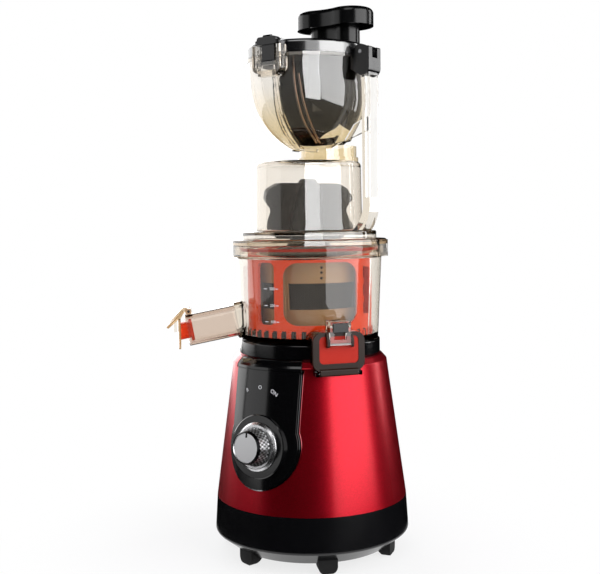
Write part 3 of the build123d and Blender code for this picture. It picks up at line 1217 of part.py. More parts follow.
def make_feed_tube():
    """Sleeve through the lid that guides the pusher, with a guard down the hopper's back wall."""
    def outline(out):
        return bean(STEM_HALF, STEM_LOBE + out, STEM_WAIST - out)
    inner = raised(outline(RUN), TUBE_BOTTOM_Z - 1, COVER_TOP_Z + 9, FEED_AT)
    tube = raised(outline(RUN + TUBE_WALL), TUBE_BOTTOM_Z, COVER_TOP_Z + 1.5, FEED_AT)
    tube += raised(outline(RUN + TUBE_WALL + 2.2), COVER_TOP_Z, COVER_TOP_Z + 1.5, FEED_AT)
    tube -= inner
    plane = Plane(origin=(0, 60, 0), x_dir=(1, 0, 0), z_dir=(0, -1, 0))
    x0, x1 = -20.0, 60.0
    z0 = TUBE_BOTTOM_Z + (FEED_AT[0] + STEM_HALF + STEM_LOBE - x0) * tan(radians(TUBE_CUT))
    z1 = TUBE_BOTTOM_Z + (FEED_AT[0] + STEM_HALF + STEM_LOBE - x1) * tan(radians(TUBE_CUT))
    cut = Polyline((x0, z0), (x1, z1), (x1, 300.0), (x0, 300.0), close=True)
    tube -= extrude(make_face(plane * cut), amount=120, dir=(0, -1, 0))
    clear = box(-200, 200, -200, 200, HOPPER_RIM_Z - 0.5, COVER_TOP_Z + 10)
    guard = hopper_cavity(GUARD_IN) - hopper_cavity(GUARD_IN + GUARD_T)
    edge = HOPPER_RIM_R - HOPPER_WALL - GUARD_IN
    guard += ring(edge, edge - GUARD_T, HOPPER_RIM_Z - 0.1, HOPPER_RIM_Z + 6)
    guard &= sector(2 * HOPPER_RIM_R, 1, GUARD_Z0, HOPPER_RIM_Z + 6, *GUARD_AT)
    return (tube & hopper_cavity(TUBE_GAP)) + (tube & clear) + (guard - inner)


def make_button():
    """Spring latch: a black head on the rim with a tongue down into the pocket."""
    half = BUTTON_HALF_W
    head = box(-half, half, -LATCH_FRONT, -BUTTON_BACK - 2 * RUN, BUTTON_Z0, BUTTON_TOP_Z)
    head = fillet(head.edges().filter_by(Axis.Y).group_by(Axis.Z)[-1], 2.5)
    bump = Pos(0, -LATCH_FRONT + 2.6, BUTTON_TOP_Z) * Rot(0, 90, 0) * Cylinder(1.9, 8)
    tongue = box(
        -TONGUE_W / 2, TONGUE_W / 2, -LATCH_FRONT + 2.4, -LATCH_FRONT + 4.4, LATCH_Z0 + 7, BUTTON_Z0 + 1)
    foot = side_profile(
        [(LATCH_FRONT - 2.4, LATCH_Z0 + 7), (LATCH_FRONT - 2.4, LATCH_Z0 + 11),
         (LATCH_FRONT - 2.0, LATCH_Z0 + 9)],
        TONGUE_W / 2 - 1,
    )
    hole = Pos(0, -BUTTON_PIN_Y, BUTTON_PIN_Z) * Rot(0, 90, 0) * Cylinder(CROSS_PIN_R + PIN_SLACK, 60)
    return head + bump + tongue + foot - hole


def make_button_pin():
    half = BUTTON_HALF_W + RUN + 3
    return Pos(0, -BUTTON_PIN_Y, BUTTON_PIN_Z) * Rot(0, 90, 0) * Cylinder(CROSS_PIN_R, 2 * half)


def make_pusher():
    """Pusher: a hollow bean-shaped cap over a narrower stem, one moulding."""
    roof_z = PUSH_TOP_Z - PUSH_ROOF
    cap = raised(bean(PUSH_HALF, PUSH_LOBE, PUSH_WAIST), PUSH_Z0, PUSH_TOP_Z, FEED_AT)
    cap = fillet(cap.edges().group_by(Axis.Z)[-1], PUSH_ROUND)
    hollow = raised(
        bean(PUSH_HALF, PUSH_LOBE - PUSH_WALL, PUSH_WAIST + PUSH_WALL), PUSH_Z0 - 1, roof_z, FEED_AT)
    stem = raised(bean(STEM_HALF, STEM_LOBE, STEM_WAIST), STEM_BOTTOM, roof_z + 1, FEED_AT)
    core = raised(
        bean(STEM_HALF, STEM_LOBE - STEM_WALL, STEM_WAIST + STEM_WALL),
        STEM_BOTTOM + STEM_WALL, roof_z, FEED_AT)
    clear = box(-200, 200, -200, 200, HOPPER_RIM_Z - 1, PUSH_TOP_Z)
    tapered = stem & hopper_cavity(TUBE_GAP + TUBE_WALL + RUN)
    stem = tapered + (stem & clear)
    return (cap - hollow) + stem - core


# ---- drive train -------------------------------------------------------------------------------
def make_gear_case():
    """Die-cast case: a bell with the fixed ring gear inside and a flange under the deck."""
    top = CASE_TOP_Z
    bell = turned(
        [
            (CASE_R, CASE_Z0), (CASE_R, CASE_FLANGE_Z + CASE_FLANGE_T), (BEARING_R + 4, top),
            (BEARING_R, top), (BEARING_R, top - BEARING_T),
            (SHAFT_R + 2, top - BEARING_T), (SHAFT_R + 2, top - BEARING_T - 3),
            (CASE_R - CASE_T, top - BEARING_T - 12), (CASE_R - CASE_T, STAGE_Z0 + STAGE_T + 2),
            (RING_OUT, STAGE_Z0 + STAGE_T + 2), (RING_OUT, CASE_Z0),
        ],
        [0, 4, 1, 0, 0, 0, 0, 3, 0, 0, 0],
    )
    lower = ring(CASE_R - 0.5, RING_OUT - 3, CASE_Z0, STAGE_Z0 + STAGE_T + 2)
    case = bell + lower - ring_gear_bore(
        DRIVE_MODULE, RING_TEETH, CASE_Z0 - 1, STAGE_Z0 + STAGE_T + 4 - CASE_Z0, phase=CASE_PHASE)
    for k in range(8):
        case += turn_to(45 * k) * box(-1.2, 1.2, -CASE_R - 3, -CASE_R + 1, CASE_Z0, CASE_FLANGE_Z + 1)
    for k in range(4):
        at = spot(CASE_SCREW_R, 90 * k + 45)
        ear = disc(6, CASE_FLANGE_Z, CASE_FLANGE_Z + CASE_FLANGE_T, at)
        ear += turn_to(90 * k + 45) * box(
            -6, 6, -CASE_SCREW_R, -CASE_R + 1, CASE_FLANGE_Z, CASE_FLANGE_Z + CASE_FLANGE_T)
        case += ear - disc(SCREW_SHANK_R + FIT, CASE_FLANGE_Z - 1, top, at)
    return case


def make_drive_shaft():
    """Output shaft with the planet carrier below and the hexagonal driver above."""
    carrier = turned(
        [(0, CARRIER_Z), (PLANET_AXIS_R + 7, CARRIER_Z), (PLANET_AXIS_R + 7, CARRIER_Z + CARRIER_T),
         (SHAFT_R + 4, CARRIER_Z + CARRIER_T), (SHAFT_R + 1, CARRIER_Z + CARRIER_T + 4),
         (SHAFT_R + 1, CASE_TOP_Z - BEARING_T), (SHAFT_R, CASE_TOP_Z - BEARING_T),
         (SHAFT_R, SLEEVE_Z + 1.2), (0, SLEEVE_Z + 1.2)],
    )
    shaft = carrier + hex_bar(HEX_ACROSS, SLEEVE_Z + 1, HEX_TOP_Z)
    for k in range(3):
        shaft += disc(PLANET_PIN_R, STAGE_Z0 - 1, CARRIER_Z + 1, spot(PLANET_AXIS_R, 120 * k))
    return chamfer(shaft.edges().group_by(Axis.Z)[-1], 1)


def make_planet(k):
    wheel = gear(DRIVE_MODULE, PLANET_TEETH, STAGE_Z0, STAGE_T, phase=PLANET_PHASE[k])
    wheel -= disc(PLANET_PIN_R + 0.06, STAGE_Z0 - 1, STAGE_Z0 + STAGE_T + 1)
    at = spot(PLANET_AXIS_R, 120 * k)
    return Pos(at[0], at[1], 0) * wheel


def make_rotor():
    """Motor rotor: laminated core, shaft and the sun pinion cut on its upper end."""
    core = ring(ROTOR_R, MOTOR_SHAFT_R - 0.5, STATOR_Z0 + 4, STATOR_Z1 - 4)
    shaft = disc(MOTOR_SHAFT_R, FAN_Z0, STAGE_Z0)
    pinion = gear(DRIVE_MODULE, SUN_TEETH, STAGE_Z0, STAGE_T, phase=SUN_PHASE)
    return core + shaft + pinion


def make_stator():
    """Stator packet with its windings as rounded end turns."""
    packet = ring(STATOR_R, ROTOR_R + AIR_GAP, STATOR_Z0, STATOR_Z1)
    for k in range(8):
        packet -= turn_to(45 * k) * box(-2.5, 2.5, -ROTOR_R - 5, -ROTOR_R, STATOR_Z0 - 1, STATOR_Z1 + 1)
    return packet


def make_windings():
    coils = []
    for z0, z1 in ((STATOR_Z0 - 9, STATOR_Z0), (STATOR_Z1, STATOR_Z1 + 9)):
        coils.append(turned(
            [(ROTOR_R + 3, z0), (STATOR_R - 5, z0), (STATOR_R - 5, z1), (ROTOR_R + 3, z1)],
            [3, 3, 3, 3]))
    return coils


def make_shield(z_face, z_open, seat_z, rim_z):
    """End shield of the motor: a dished cup with a bearing seat, windows and a rim."""
    low, high = min(z_face, z_open, rim_z), max(z_face, z_open, rim_z)
    cup = ring(STATOR_R + SHIELD_T, STATOR_R + PIN_SLACK, low, high)
    face0 = z_face if z_face < z_open else z_face - SHIELD_T
    cup += disc(STATOR_R + SHIELD_T, face0, face0 + SHIELD_T)
    cup += disc(BEARING_SMALL_R + 3, seat_z, seat_z + BEARING_T)
    cup -= disc(BEARING_SMALL_R, seat_z, seat_z + BEARING_T)
    cup -= disc(BEARING_SMALL_R - 2, low - 20, high + 20)
    for k in range(6):
        cup -= sector(STATOR_R - 4, BEARING_SMALL_R + 8, low - 1, high + 1, 60 * k, 40) & disc(
            STATOR_R, face0 - 1, face0 + SHIELD_T + 1)
    return cup


def make_fan():
    hub = ring(10, MOTOR_SHAFT_R, FAN_Z0, FAN_Z0 + 10)
    fan = hub + ring(FAN_R, 9, FAN_Z0, FAN_Z0 + 1.6)
    for k in range(FAN_BLADES):
        blade = Pos(22.5, 0, FAN_Z0 + 5.5) * Rot(0, 0, 25) * Box(26, 1.6, 9)
        fan += Rot(0, 0, 360 * k / FAN_BLADES) * blade & disc(FAN_R, FAN_Z0, FAN_Z0 + 12)
    return fan


def bearing(inner, outer, z0):
    return ring(outer, inner, z0, z0 + BEARING_T)


def make_interlock_switch():
    """Microswitch cup hung from the deck behind the spring."""
    at = spot(INTERLOCK_R, INTERLOCK_ANGLE)
    seat_z = PIN_LOW_Z - SPRING_LEN
    body = box(at[0] - 7, at[0] + 7, at[1] - 6, at[1] + 6, seat_z - 8, seat_z)
    hanger = box(at[0] - 7, at[0] + 7, at[1] - 6, at[1] - 4.4, seat_z - 1, HOUSING_TOP_Z - DECK_T)
    return body + hanger


def make_cord_inlet():
    """Bushing in the back of the skirt where the mains lead enters."""
    profile = FilletPolyline(
        (3.4, INLET_IN - 3), (INLET_R + 3, INLET_IN - 3), (INLET_R + 3, INLET_IN), (INLET_R, INLET_IN),
        (INLET_R, INLET_OUT), (INLET_R + 3.5, INLET_OUT), (INLET_R + 3.5, INLET_OUT + 3),
        (INLET_R + 1, INLET_OUT + 5), (3.4, INLET_OUT + 5),
        radius=[0, 0.6, 0, 0, 0, 0, 1, 1, 0], close=True,
    )
    bushing = revolve(make_face(Plane.XZ * profile), Axis.Z)
    return Pos(0, 0, INLET_Z) * Rot(-90, 0, 0) * bushing


def make_board():
    """Control board standing on two posts, with its capacitor, relay and connector."""
    board = box(-26, 26, BOARD_Y - 0.8, BOARD_Y + 0.8, BOARD_Z0, BOARD_Z0 + 42)
    board += Pos(-14, BOARD_Y + 6.8, BOARD_Z0 + 22) * Cylinder(6.2, 26)
    board += box(2, 20, BOARD_Y + 0.7, BOARD_Y + 9, BOARD_Z0 + 20, BOARD_Z0 + 34)
    board += box(2, 16, BOARD_Y + 0.7, BOARD_Y + 6, BOARD_Z0 + 6, BOARD_Z0 + 14)
    return board


nodes = {}
nodes["feet"] = group(make_feet())
nodes["base_plate"] = make_base_plate()
nodes["base_skirt"] = make_skirt()
nodes["base_screws"] = group([make_screw(spot(SCREW_R, a), PLATE_Z, 12) for a in SCREW_ANGLES])
nodes["housing"] = make_housing()
nodes["control_panel"] = make_panel()
nodes["panel_trim"] = make_trim()
nodes["knob_ring"] = make_knob_ring()
nodes["knob"] = make_knob()
nodes["switch_body"] = make_switch_body()
nodes["top_ring"] = make_top_ring()
nodes["interlock_pin"] = make_interlock_pin()
nodes["interlock_spring"] = make_interlock_spring()
nodes["juicing_bowl"] = make_bowl()
nodes["juice_spout"] = make_spout()
nodes["anti_drip_cap"] = make_cap()
nodes["cap_pin"] = make_cap_pin()
nodes["cap_plug"] = make_cap_plug()
nodes["pulp_flap"] = make_pulp_flap()
nodes["pulp_seal"] = make_pulp_seal()
nodes["pulp_latch"] = make_pulp_latch()
nodes["latch_pad"] = make_latch_pad()
nodes["latch_pin"] = cross_pin(
    PULP_ANGLE, LATCH_PIVOT_R, LATCH_PIVOT_Z, LATCH_BAR_W / 2 + RUN + EAR_T)
nodes["flap_pin"] = cross_pin(PULP_ANGLE, FLAP_PIVOT_R, FLAP_HINGE_Z, FLAP_EAR_AT + FLAP_EAR_HALF)
nodes["strainer"] = make_strainer()
nodes["strainer_mesh"] = make_mesh()
nodes["brush_frame"] = make_brush_frame()
nodes["brush_wipers"] = group(make_wipers())
nodes["auger"] = make_auger()
nodes["cutter"] = make_cutter()
nodes["brush_gear"] = make_idler()
nodes["chamber_lid"] = make_chamber_lid()
nodes["lid_seal"] = ring(
    BOWL_RIM_R - WALL + 0.2, BOWL_RIM_R - WALL - FIT - SEAL_DEPTH, LID_Z - 5, LID_Z - 5 + SEAL_T)
nodes["hopper"] = make_hopper()
nodes["hinge_block"] = make_hinge_block()
nodes["handle_column"] = make_column()
nodes["hopper_lid"] = make_cover()
nodes["feed_tube"] = make_feed_tube()
nodes["hinge_pin"] = Pos(HINGE_X, 0, HINGE_Z) * Rot(90, 0, 0) * Cylinder(PIN_R, 2 * HINGE_HALF_W)
nodes["lid_latch"] = make_button()
nodes["latch_button_pin"] = make_button_pin()
nodes["pusher"] = make_pusher()
nodes["gear_case"] = make_gear_case()
nodes["case_screws"] = group(
    [make_screw(spot(CASE_SCREW_R, 90 * k + 45), CASE_FLANGE_Z - 1.4, 14) for k in range(4)])
nodes["shaft_seal"] = ring(SEAL_R, SHAFT_R + PIN_SLACK, HOUSING_TOP_Z + 4, HOUSING_TOP_Z + 11)
nodes["output_bearing"] = bearing(SHAFT_R + PIN_SLACK, BEARING_R, CASE_TOP_Z - BEARING_T)
nodes["motor_bearings"] = group([
    bearing(MOTOR_SHAFT_R + PIN_SLACK, BEARING_SMALL_R, SHIELD_TOP_Z - 1),
    bearing(MOTOR_SHAFT_R + PIN_SLACK, BEARING_SMALL_R, SHIELD_LOW_Z - 6)])
nodes["motor_shield_top"] = make_shield(SHIELD_TOP_Z, STATOR_Z1 - 5, SHIELD_TOP_Z - 1, CASE_Z0)
nodes["motor_shield_low"] = make_shield(SHIELD_LOW_Z, STATOR_Z0 + 5, SHIELD_LOW_Z - 6, SHIELD_LOW_Z)
nodes["interlock_switch"] = make_interlock_switch()
nodes["drive_shaft"] = make_drive_shaft()
for k in range(3):
    nodes[f"planet_gear_{k + 1}"] = make_planet(k)
nodes["motor_rotor"] = make_rotor()
nodes["motor_stator"] = make_stator()
nodes["motor_windings"] = group(make_windings())
nodes["cooling_fan"] = make_fan()
nodes["cord_inlet"] = make_cord_inlet()
nodes["control_board"] = make_board()

for name, shape in nodes.items():
    write(name, shape)
print(len(nodes), "nodes")
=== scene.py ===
# %% [markdown]
# # A cold press juicer, dressed for the studio
# The machine is packed already as a frame of 60 separate parts: a red lacquered base with its
# motor, a smoky see-through bowl with the strainer and screw inside, and a wide hopper on top.
# This lesson gives every part its real finish, adds the printed marks and other fine details,
# and lights the lot in a plain white studio. Everything is in metres, in the frame's own place.

# %% Load the frame and keep its size
import math

import bpy
from mathutils import Matrix, Vector


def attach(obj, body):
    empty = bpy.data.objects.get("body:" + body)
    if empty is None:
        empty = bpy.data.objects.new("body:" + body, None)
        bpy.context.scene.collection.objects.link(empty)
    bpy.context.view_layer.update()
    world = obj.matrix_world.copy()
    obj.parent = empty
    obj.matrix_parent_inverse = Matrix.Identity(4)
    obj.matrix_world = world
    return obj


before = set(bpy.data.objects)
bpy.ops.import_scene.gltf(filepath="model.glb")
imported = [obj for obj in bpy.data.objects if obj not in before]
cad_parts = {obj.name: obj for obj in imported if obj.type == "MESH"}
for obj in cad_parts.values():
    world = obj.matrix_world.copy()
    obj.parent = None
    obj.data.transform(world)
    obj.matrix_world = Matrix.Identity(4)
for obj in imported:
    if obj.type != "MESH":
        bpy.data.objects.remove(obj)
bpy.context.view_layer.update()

# %% [markdown]
# ## Three small helpers
# Colours are written as the hex values seen on a screen. Shaders work in linear light, so one
# function turns one into the other. A second adds a node with its settings and its links, and a
# third starts a material: it sets the Principled shader's own sockets and hands over the object
# coordinates in millimetres, so each pattern's scale can be written from a real size.

# %% Colour, node and material helpers
MM = 0.001


def linear(hex_colour, alpha=1.0):
    """Screen colour to linear colour."""
    channels = [int(hex_colour[i:i + 2], 16) / 255 for i in (1, 3, 5)]
    return [c / 12.92 if c <= 0.04045 else ((c + 0.055) / 1.055) ** 2.4 for c in channels] + [alpha]


def add(tree, kind, settings=None, links=None):
    """Add one node. A setting is a socket's name or number, or else an attribute of the node."""
    node = tree.nodes.new(kind)
    attributes = {k: v for k, v in (settings or {}).items() if isinstance(k, str) and hasattr(node, k)}
    for key, value in attributes.items():
        setattr(node, key, value)
    for key, value in (settings or {}).items():
        if key not in attributes:
            node.inputs[key].default_value = value
    for key, source in (links or {}).items():
        tree.links.new(source, node.inputs[key])
    return node


def start(name, finish):
    """New material with these sockets set: (material, tree, shader, coordinates in mm)."""
    material = bpy.data.materials.new(name)
    material.use_nodes = True
    tree = material.node_tree
    shader = tree.nodes["Principled BSDF"]
    for socket, value in finish.items():
        shader.inputs[socket].default_value = value
    place = add(tree, "ShaderNodeTexCoord")
    mm = add(tree, "ShaderNodeVectorMath", {"operation": "SCALE", "Scale": 1 / MM},
             {0: place.outputs["Object"]})
    return material, tree, shader, mm.outputs["Vector"]


# %% [markdown]
# ## Camera
# A product picture is taken from a little way off with a short telephoto lens, so that upright
# edges stay nearly parallel. The camera stands 0.9 m from the machine's axis and 0.3 m up, 34
# degrees round from its front, and looks down by four degrees.

# %% Camera
CAMERA_AWAY = 0.895
CAMERA_ROUND = math.radians(34)
CAMERA_HEIGHT = 0.303
LOOK_LEFT, LOOK_DOWN, LEAN = (math.radians(a) for a in (0.54, 3.9, 0.75))
SENSOR = 36.0
PICTURE_WIDTH = 600
FOCAL_PIXELS = 980

camera = bpy.data.objects.new("camera", bpy.data.cameras.new("camera"))
bpy.context.collection.objects.link(camera)
camera.data.sensor_width = SENSOR
camera.data.lens = SENSOR * FOCAL_PIXELS / PICTURE_WIDTH
camera.matrix_world = (
    Matrix.Translation((CAMERA_AWAY * math.sin(CAMERA_ROUND), -CAMERA_AWAY * math.cos(CAMERA_ROUND),
                        CAMERA_HEIGHT))
    @ Matrix.Rotation(CAMERA_ROUND + LOOK_LEFT, 4, "Z")
    @ Matrix.Rotation(math.radians(90) - LOOK_DOWN, 4, "X")
    @ Matrix.Rotation(-LEAN, 4, "Z")
)
bpy.context.scene.camera = camera
print("lens", round(camera.data.lens, 1), "mm")

# %% [markdown]
# ## White room
# The room is white to the eye and to everything that mirrors or lets light through, but the
# light that it gives to surfaces is dim, so that the lamps shape the object. A brighter world
# would be simpler, but it would flatten every form. Light Path tells which kind of ray is asking.

# %% White room
AMBIENT = 0.45

scene = bpy.context.scene
scene.view_settings.view_transform = "Standard"


def seen_directly(tree):
    """1 for rays from the camera, a mirror or clear plastic, and 0 for light on matt surfaces."""
    path = add(tree, "ShaderNodeLightPath")
    both = add(tree, "ShaderNodeMath", {"operation": "ADD"},
               {0: path.outputs["Is Camera Ray"], 1: path.outputs["Is Glossy Ray"]})
    total = add(tree, "ShaderNodeMath", {"operation": "ADD", "use_clamp": True},
                {0: both.outputs[0], 1: path.outputs["Is Transmission Ray"]})
    return total.outputs[0]


world = bpy.data.worlds.new("white_room")
scene.world = world
world.use_nodes = True
sky = world.node_tree
sky.nodes.clear()
room_light = add(sky, "ShaderNodeBackground", {"Color": linear("#F4F6FF"), "Strength": AMBIENT})
room_white = add(sky, "ShaderNodeBackground", {"Color": linear("#FFFFFF"), "Strength": 1.0})
room = add(sky, "ShaderNodeMixShader", {},
           {0: seen_directly(sky), 1: room_light.outputs[0], 2: room_white.outputs[0]})
add(sky, "ShaderNodeOutputWorld", {}, {"Surface": room.outputs[0]})
print("room light", AMBIENT, "of white")

# %% [markdown]
# ## Paper floor
# The floor glows white like the room, with part of a plain white paper mixed in near the machine
# to keep its soft shadow. That part fades away by 300 mm, so the floor has no edge to be seen.

# %% Paper floor
FLOOR_HALF = 3.0
SHADOW_SHARE = 0.22
SHADOW_FROM_MM, SHADOW_TO_MM = 110.0, 300.0

floor_mesh = bpy.data.meshes.new("floor")
floor_mesh.from_pydata(
    [(-FLOOR_HALF, -FLOOR_HALF, 0), (FLOOR_HALF, -FLOOR_HALF, 0),
     (FLOOR_HALF, FLOOR_HALF, 0), (-FLOOR_HALF, FLOOR_HALF, 0)], [], [(0, 1, 2, 3)])
floor = bpy.data.objects.new("floor", floor_mesh)
bpy.context.collection.objects.link(floor)

paper, tree, shader, mm = start("white_paper_floor", {
    "Base Color": linear("#F2F2F2"), "Roughness": 0.9, "Specular IOR Level": 0.1})
glow = add(tree, "ShaderNodeEmission", {"Color": linear("#FFFFFF"), "Strength": 1.0})
away = add(tree, "ShaderNodeVectorMath", {"operation": "LENGTH"}, {0: mm})
near = add(tree, "ShaderNodeMapRange", {
    "From Min": SHADOW_FROM_MM, "From Max": SHADOW_TO_MM, "To Min": 1 - SHADOW_SHARE, "To Max": 1.0,
    "interpolation_type": "SMOOTHSTEP"}, {"Value": away.outputs["Value"]})
share = add(tree, "ShaderNodeMath", {"operation": "MULTIPLY"},
            {0: near.outputs[0], 1: seen_directly(tree)})
blend = add(tree, "ShaderNodeMixShader", {},
            {0: share.outputs[0], 1: shader.outputs[0], 2: glow.outputs[0]})
tree.links.new(blend.outputs[0], tree.nodes["Material Output"].inputs["Surface"])
floor_mesh.materials.append(paper)
print("floor", 2 * FLOOR_HALF, "m wide")

# %% [markdown]
# ## Lamps
# Gloss is drawn by what it mirrors. One tall soft box at the right gives the broad bright band
# down each glossy part, and a strip behind it lights the right edge. Three boxes at the left
# lift the shadow side, and one overhead fills from above. They are only as strong as a colour
# needs to look as it is written. Three more, the scrims, are linked to a few parts alone: one
# whitens the lid's band, and two draw the bright window on the hopper and the feed chamber. A
# studio would hold flags before the other parts, which is slower and never quite as clean.

# %% Lamps
def soft_box(name, azimuth, away, height, size, watts, aim=0.25):
    """Area lamp at an angle from the front, aimed at a height on the machine's axis."""
    lamp = bpy.data.lights.new(name, "AREA")
    lamp.shape = "RECTANGLE"
    lamp.size, lamp.size_y = size
    lamp.energy = watts
    piece = bpy.data.objects.new(name, lamp)
    bpy.context.collection.objects.link(piece)
    turn = math.radians(azimuth)
    piece.location = (away * math.sin(turn), -away * math.cos(turn), height)
    piece.rotation_mode = "QUATERNION"
    piece.rotation_quaternion = (piece.location - Vector((0, 0, aim))).to_track_quat("Z", "Y")
    piece.visible_camera = False
    piece.visible_transmission = False
    return piece


lamps = [
    soft_box("soft_box_right", 88, 1.15, 0.42, (1.3, 1.5), 20),
    soft_box("strip_behind_right", 146, 1.3, 0.55, (0.2, 1.0), 3),
    soft_box("soft_box_left", -90, 1.4, 0.38, (1.3, 1.5), 12),
    soft_box("soft_box_front_left", -44, 1.5, 0.38, (1.0, 1.5), 4),
    soft_box("soft_box_behind_left", -128, 1.4, 0.4, (0.7, 1.5), 10),
    soft_box("soft_box_top", 20, 1.5, 1.65, (1.2, 1.2), 8),
    soft_box("scrim_for_the_lid", 70, 1.15, 0.42, (1.7, 1.5), 14),
    soft_box("scrim_near_for_the_hopper", 43, 1.15, 0.42, (0.62, 1.5), 34),
    soft_box("scrim_far_for_the_hopper", 97, 1.15, 0.42, (1.9, 1.5), 42),
]
LINKED = (("hopper_lid", "lid_latch"), ("hopper", "chamber_lid"), ("hopper", "chamber_lid"))
for lamp, names in zip(lamps[-len(LINKED):], LINKED):
    only = bpy.data.collections.new("lit_by_" + lamp.name)
    for name in names:
        only.objects.link(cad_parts[name])
    lamp.light_linking.receiver_collection = only
print("lamps:", [(o.name, o.data.energy) for o in lamps])

# %% [markdown]
# ## Black velvet
# Black plastic in a white room mirrors white and turns grey. So a drum of black velvet stands
# round the set, over it, and on the floor from 130 mm outwards, and only mirrors see it. It
# gives black plastic and red lacquer their dark bands, as a studio's black cards do, and keeps a
# white veil off the clear plastic.

# %% Black velvet on the floor, the walls and overhead
VELVET_R = 1.9
VELVET_HEIGHT = 2.6
FLOOR_VELVET_FROM = 0.13
VELVET_GAP = 0.001      # height over the floor, and the hole left in the middle of the roof
SIDES = 48
velvet, tree, shader, mm = start("black_velvet", {
    "Base Color": linear("#050505"), "Roughness": 1.0, "Specular IOR Level": 0.0})
rings = [(FLOOR_VELVET_FROM, VELVET_GAP), (VELVET_R, VELVET_GAP),
         (VELVET_R, VELVET_HEIGHT), (VELVET_GAP, VELVET_HEIGHT)]
corners = [(r * math.cos(math.tau * i / SIDES), r * math.sin(math.tau * i / SIDES), z)
           for r, z in rings for i in range(SIDES)]
walls = [(k * SIDES + i, k * SIDES + (i + 1) % SIDES,
          (k + 1) * SIDES + (i + 1) % SIDES, (k + 1) * SIDES + i)
         for k in range(len(rings) - 1) for i in range(SIDES)]
velvet_mesh = bpy.data.meshes.new("velvet")
velvet_mesh.from_pydata(corners, [], walls)
velvet_mesh.materials.append(velvet)
hung = bpy.data.objects.new("velvet", velvet_mesh)
bpy.context.collection.objects.link(hung)
for kind in ("camera", "diffuse", "transmission", "shadow", "volume_scatter"):
    setattr(hung, "visible_" + kind, False)
print("velvet:", len(walls), "faces")

# %% [markdown]
# ## Clear plastics
# The bowl, lid and hopper are moulded in a smoky amber copolyester, about 2.5 mm thick. It is
# clear, so the shader is full transmission at the plastic's own IOR, and the colour comes from
# absorption inside the wall: light that runs along a rim or a rib passes more plastic and turns
# a deeper brown, with no painting of edges. Lamps must reach what is inside, and tracing them
# through curved walls is slow and noisy, so shadow rays are let straight through, tinted. Low
# down a wall may also carry painted shade: the hopper's belly is painted a faint amber, which
# stands in for the deeper tint of light through its curved lower part, and the bowl's foot,
# which stands in a dark ring, is painted nearly black as painted shade.

# %% Clear plastics
SWELL_MM = 9.0      # a moulded wall is never quite flat: its swell runs over about 9 mm


def clear_plastic(name, tint, per_metre, ior, rough, shade, painted_low_shade=None):
    """Clear moulding: tint is what a thick wall turns to, shade what it takes from a lamp.

    The last argument paints shade low on the wall: (height in mm of the full tone, height where it has
    faded, tone)."""
    material, tree, shader, mm = start(name, {
        "Base Color": linear("#FFFFFF"), "Transmission Weight": 1.0, "IOR": ior, "Roughness": rough})
    wave = add(tree, "ShaderNodeTexNoise", {"Scale": 1 / SWELL_MM, "Detail": 2.0}, {"Vector": mm})
    flow = add(tree, "ShaderNodeBump", {"Strength": 0.06, "Distance": 0.4 * MM},
               {"Height": wave.outputs[0]})
    tree.links.new(flow.outputs[0], shader.inputs["Normal"])
    # Painted shade: low on the wall the colour fades from the given tone to white between the two heights.
    if painted_low_shade:
        apart = add(tree, "ShaderNodeSeparateXYZ", {}, {0: mm})
        climb = add(tree, "ShaderNodeMapRange", {"From Min": painted_low_shade[0], "From Max": painted_low_shade[1],
                                                 "interpolation_type": "SMOOTHSTEP"},
                    {"Value": apart.outputs["Z"]})
        painted_low_colour = add(tree, "ShaderNodeMix", {
            "data_type": "RGBA", 6: linear(painted_low_shade[2]), 7: linear("#FFFFFF")}, {0: climb.outputs[0]})
        tree.links.new(painted_low_colour.outputs[2], shader.inputs["Base Color"])
    open_to_lamps = add(tree, "ShaderNodeBsdfTransparent", {"Color": linear(shade)})
    path = add(tree, "ShaderNodeLightPath")
    both = add(tree, "ShaderNodeMixShader", {}, {0: path.outputs["Is Shadow Ray"],
                                                 1: shader.outputs[0], 2: open_to_lamps.outputs[0]})
    depth = add(tree, "ShaderNodeVolumeAbsorption", {"Color": linear(tint), "Density": per_metre})
    out = tree.nodes["Material Output"]
    tree.links.new(both.outputs[0], out.inputs["Surface"])
    tree.links.new(depth.outputs[0], out.inputs["Volume"])
    return material


# The bowl's foot gets painted shade, near-black below 199.5 mm, and the hopper's belly a painted faint
# amber below 378 mm.
smoke = clear_plastic("copolyester_smoky_moulded", "#CBA63F", 50.0, 1.6, 0.015, "#EADFCB",
                      painted_low_shade=(199.5, 202.0, "#1C1A18"))
smoke_painted_belly = clear_plastic("copolyester_smoky_painted_belly", "#CBA63F", 45.0, 1.6, 0.015, "#EADFCB",
                            painted_low_shade=(378.0, 430.0, "#F6ECD4"))
amber = clear_plastic("copolyester_amber_moulded", "#C08A10", 170.0, 1.58, 0.03, "#E6CFA4")
pale_amber = clear_plastic("copolyester_amber_thin", "#D8B45C", 70.0, 1.55, 0.03, "#EFE2C6")
ribbed_amber = clear_plastic("copolyester_amber_ribbed", "#C88A1C", 900.0, 1.58, 0.05, "#D8B070")
water_clear = clear_plastic("copolyester_clear_moulded", "#D6BF8A", 40.0, 1.55, 0.01, "#F6EFE2")
print("finishes so far:", len(bpy.data.materials))

# %% [markdown]
# ## Black plastics and rubber
# The panel, drip ring, cover and pusher are polished black ABS: near-black colour under a sharp
# reflection, with faint unevenness of the surface that makes the reflection swim a little. The
# cover has a harder lacquer, and the guard inside the hopper a duller skin, since it is seen
# through a bright wall. The base skirt is the same ABS from a satin mould. The pulp door is a
# very dark brown ABS. The feet are rubber, which is matt and greyer.

# %% Black plastics
SMUDGE_MM = 14.0    # handling leaves patches of about a fingertip


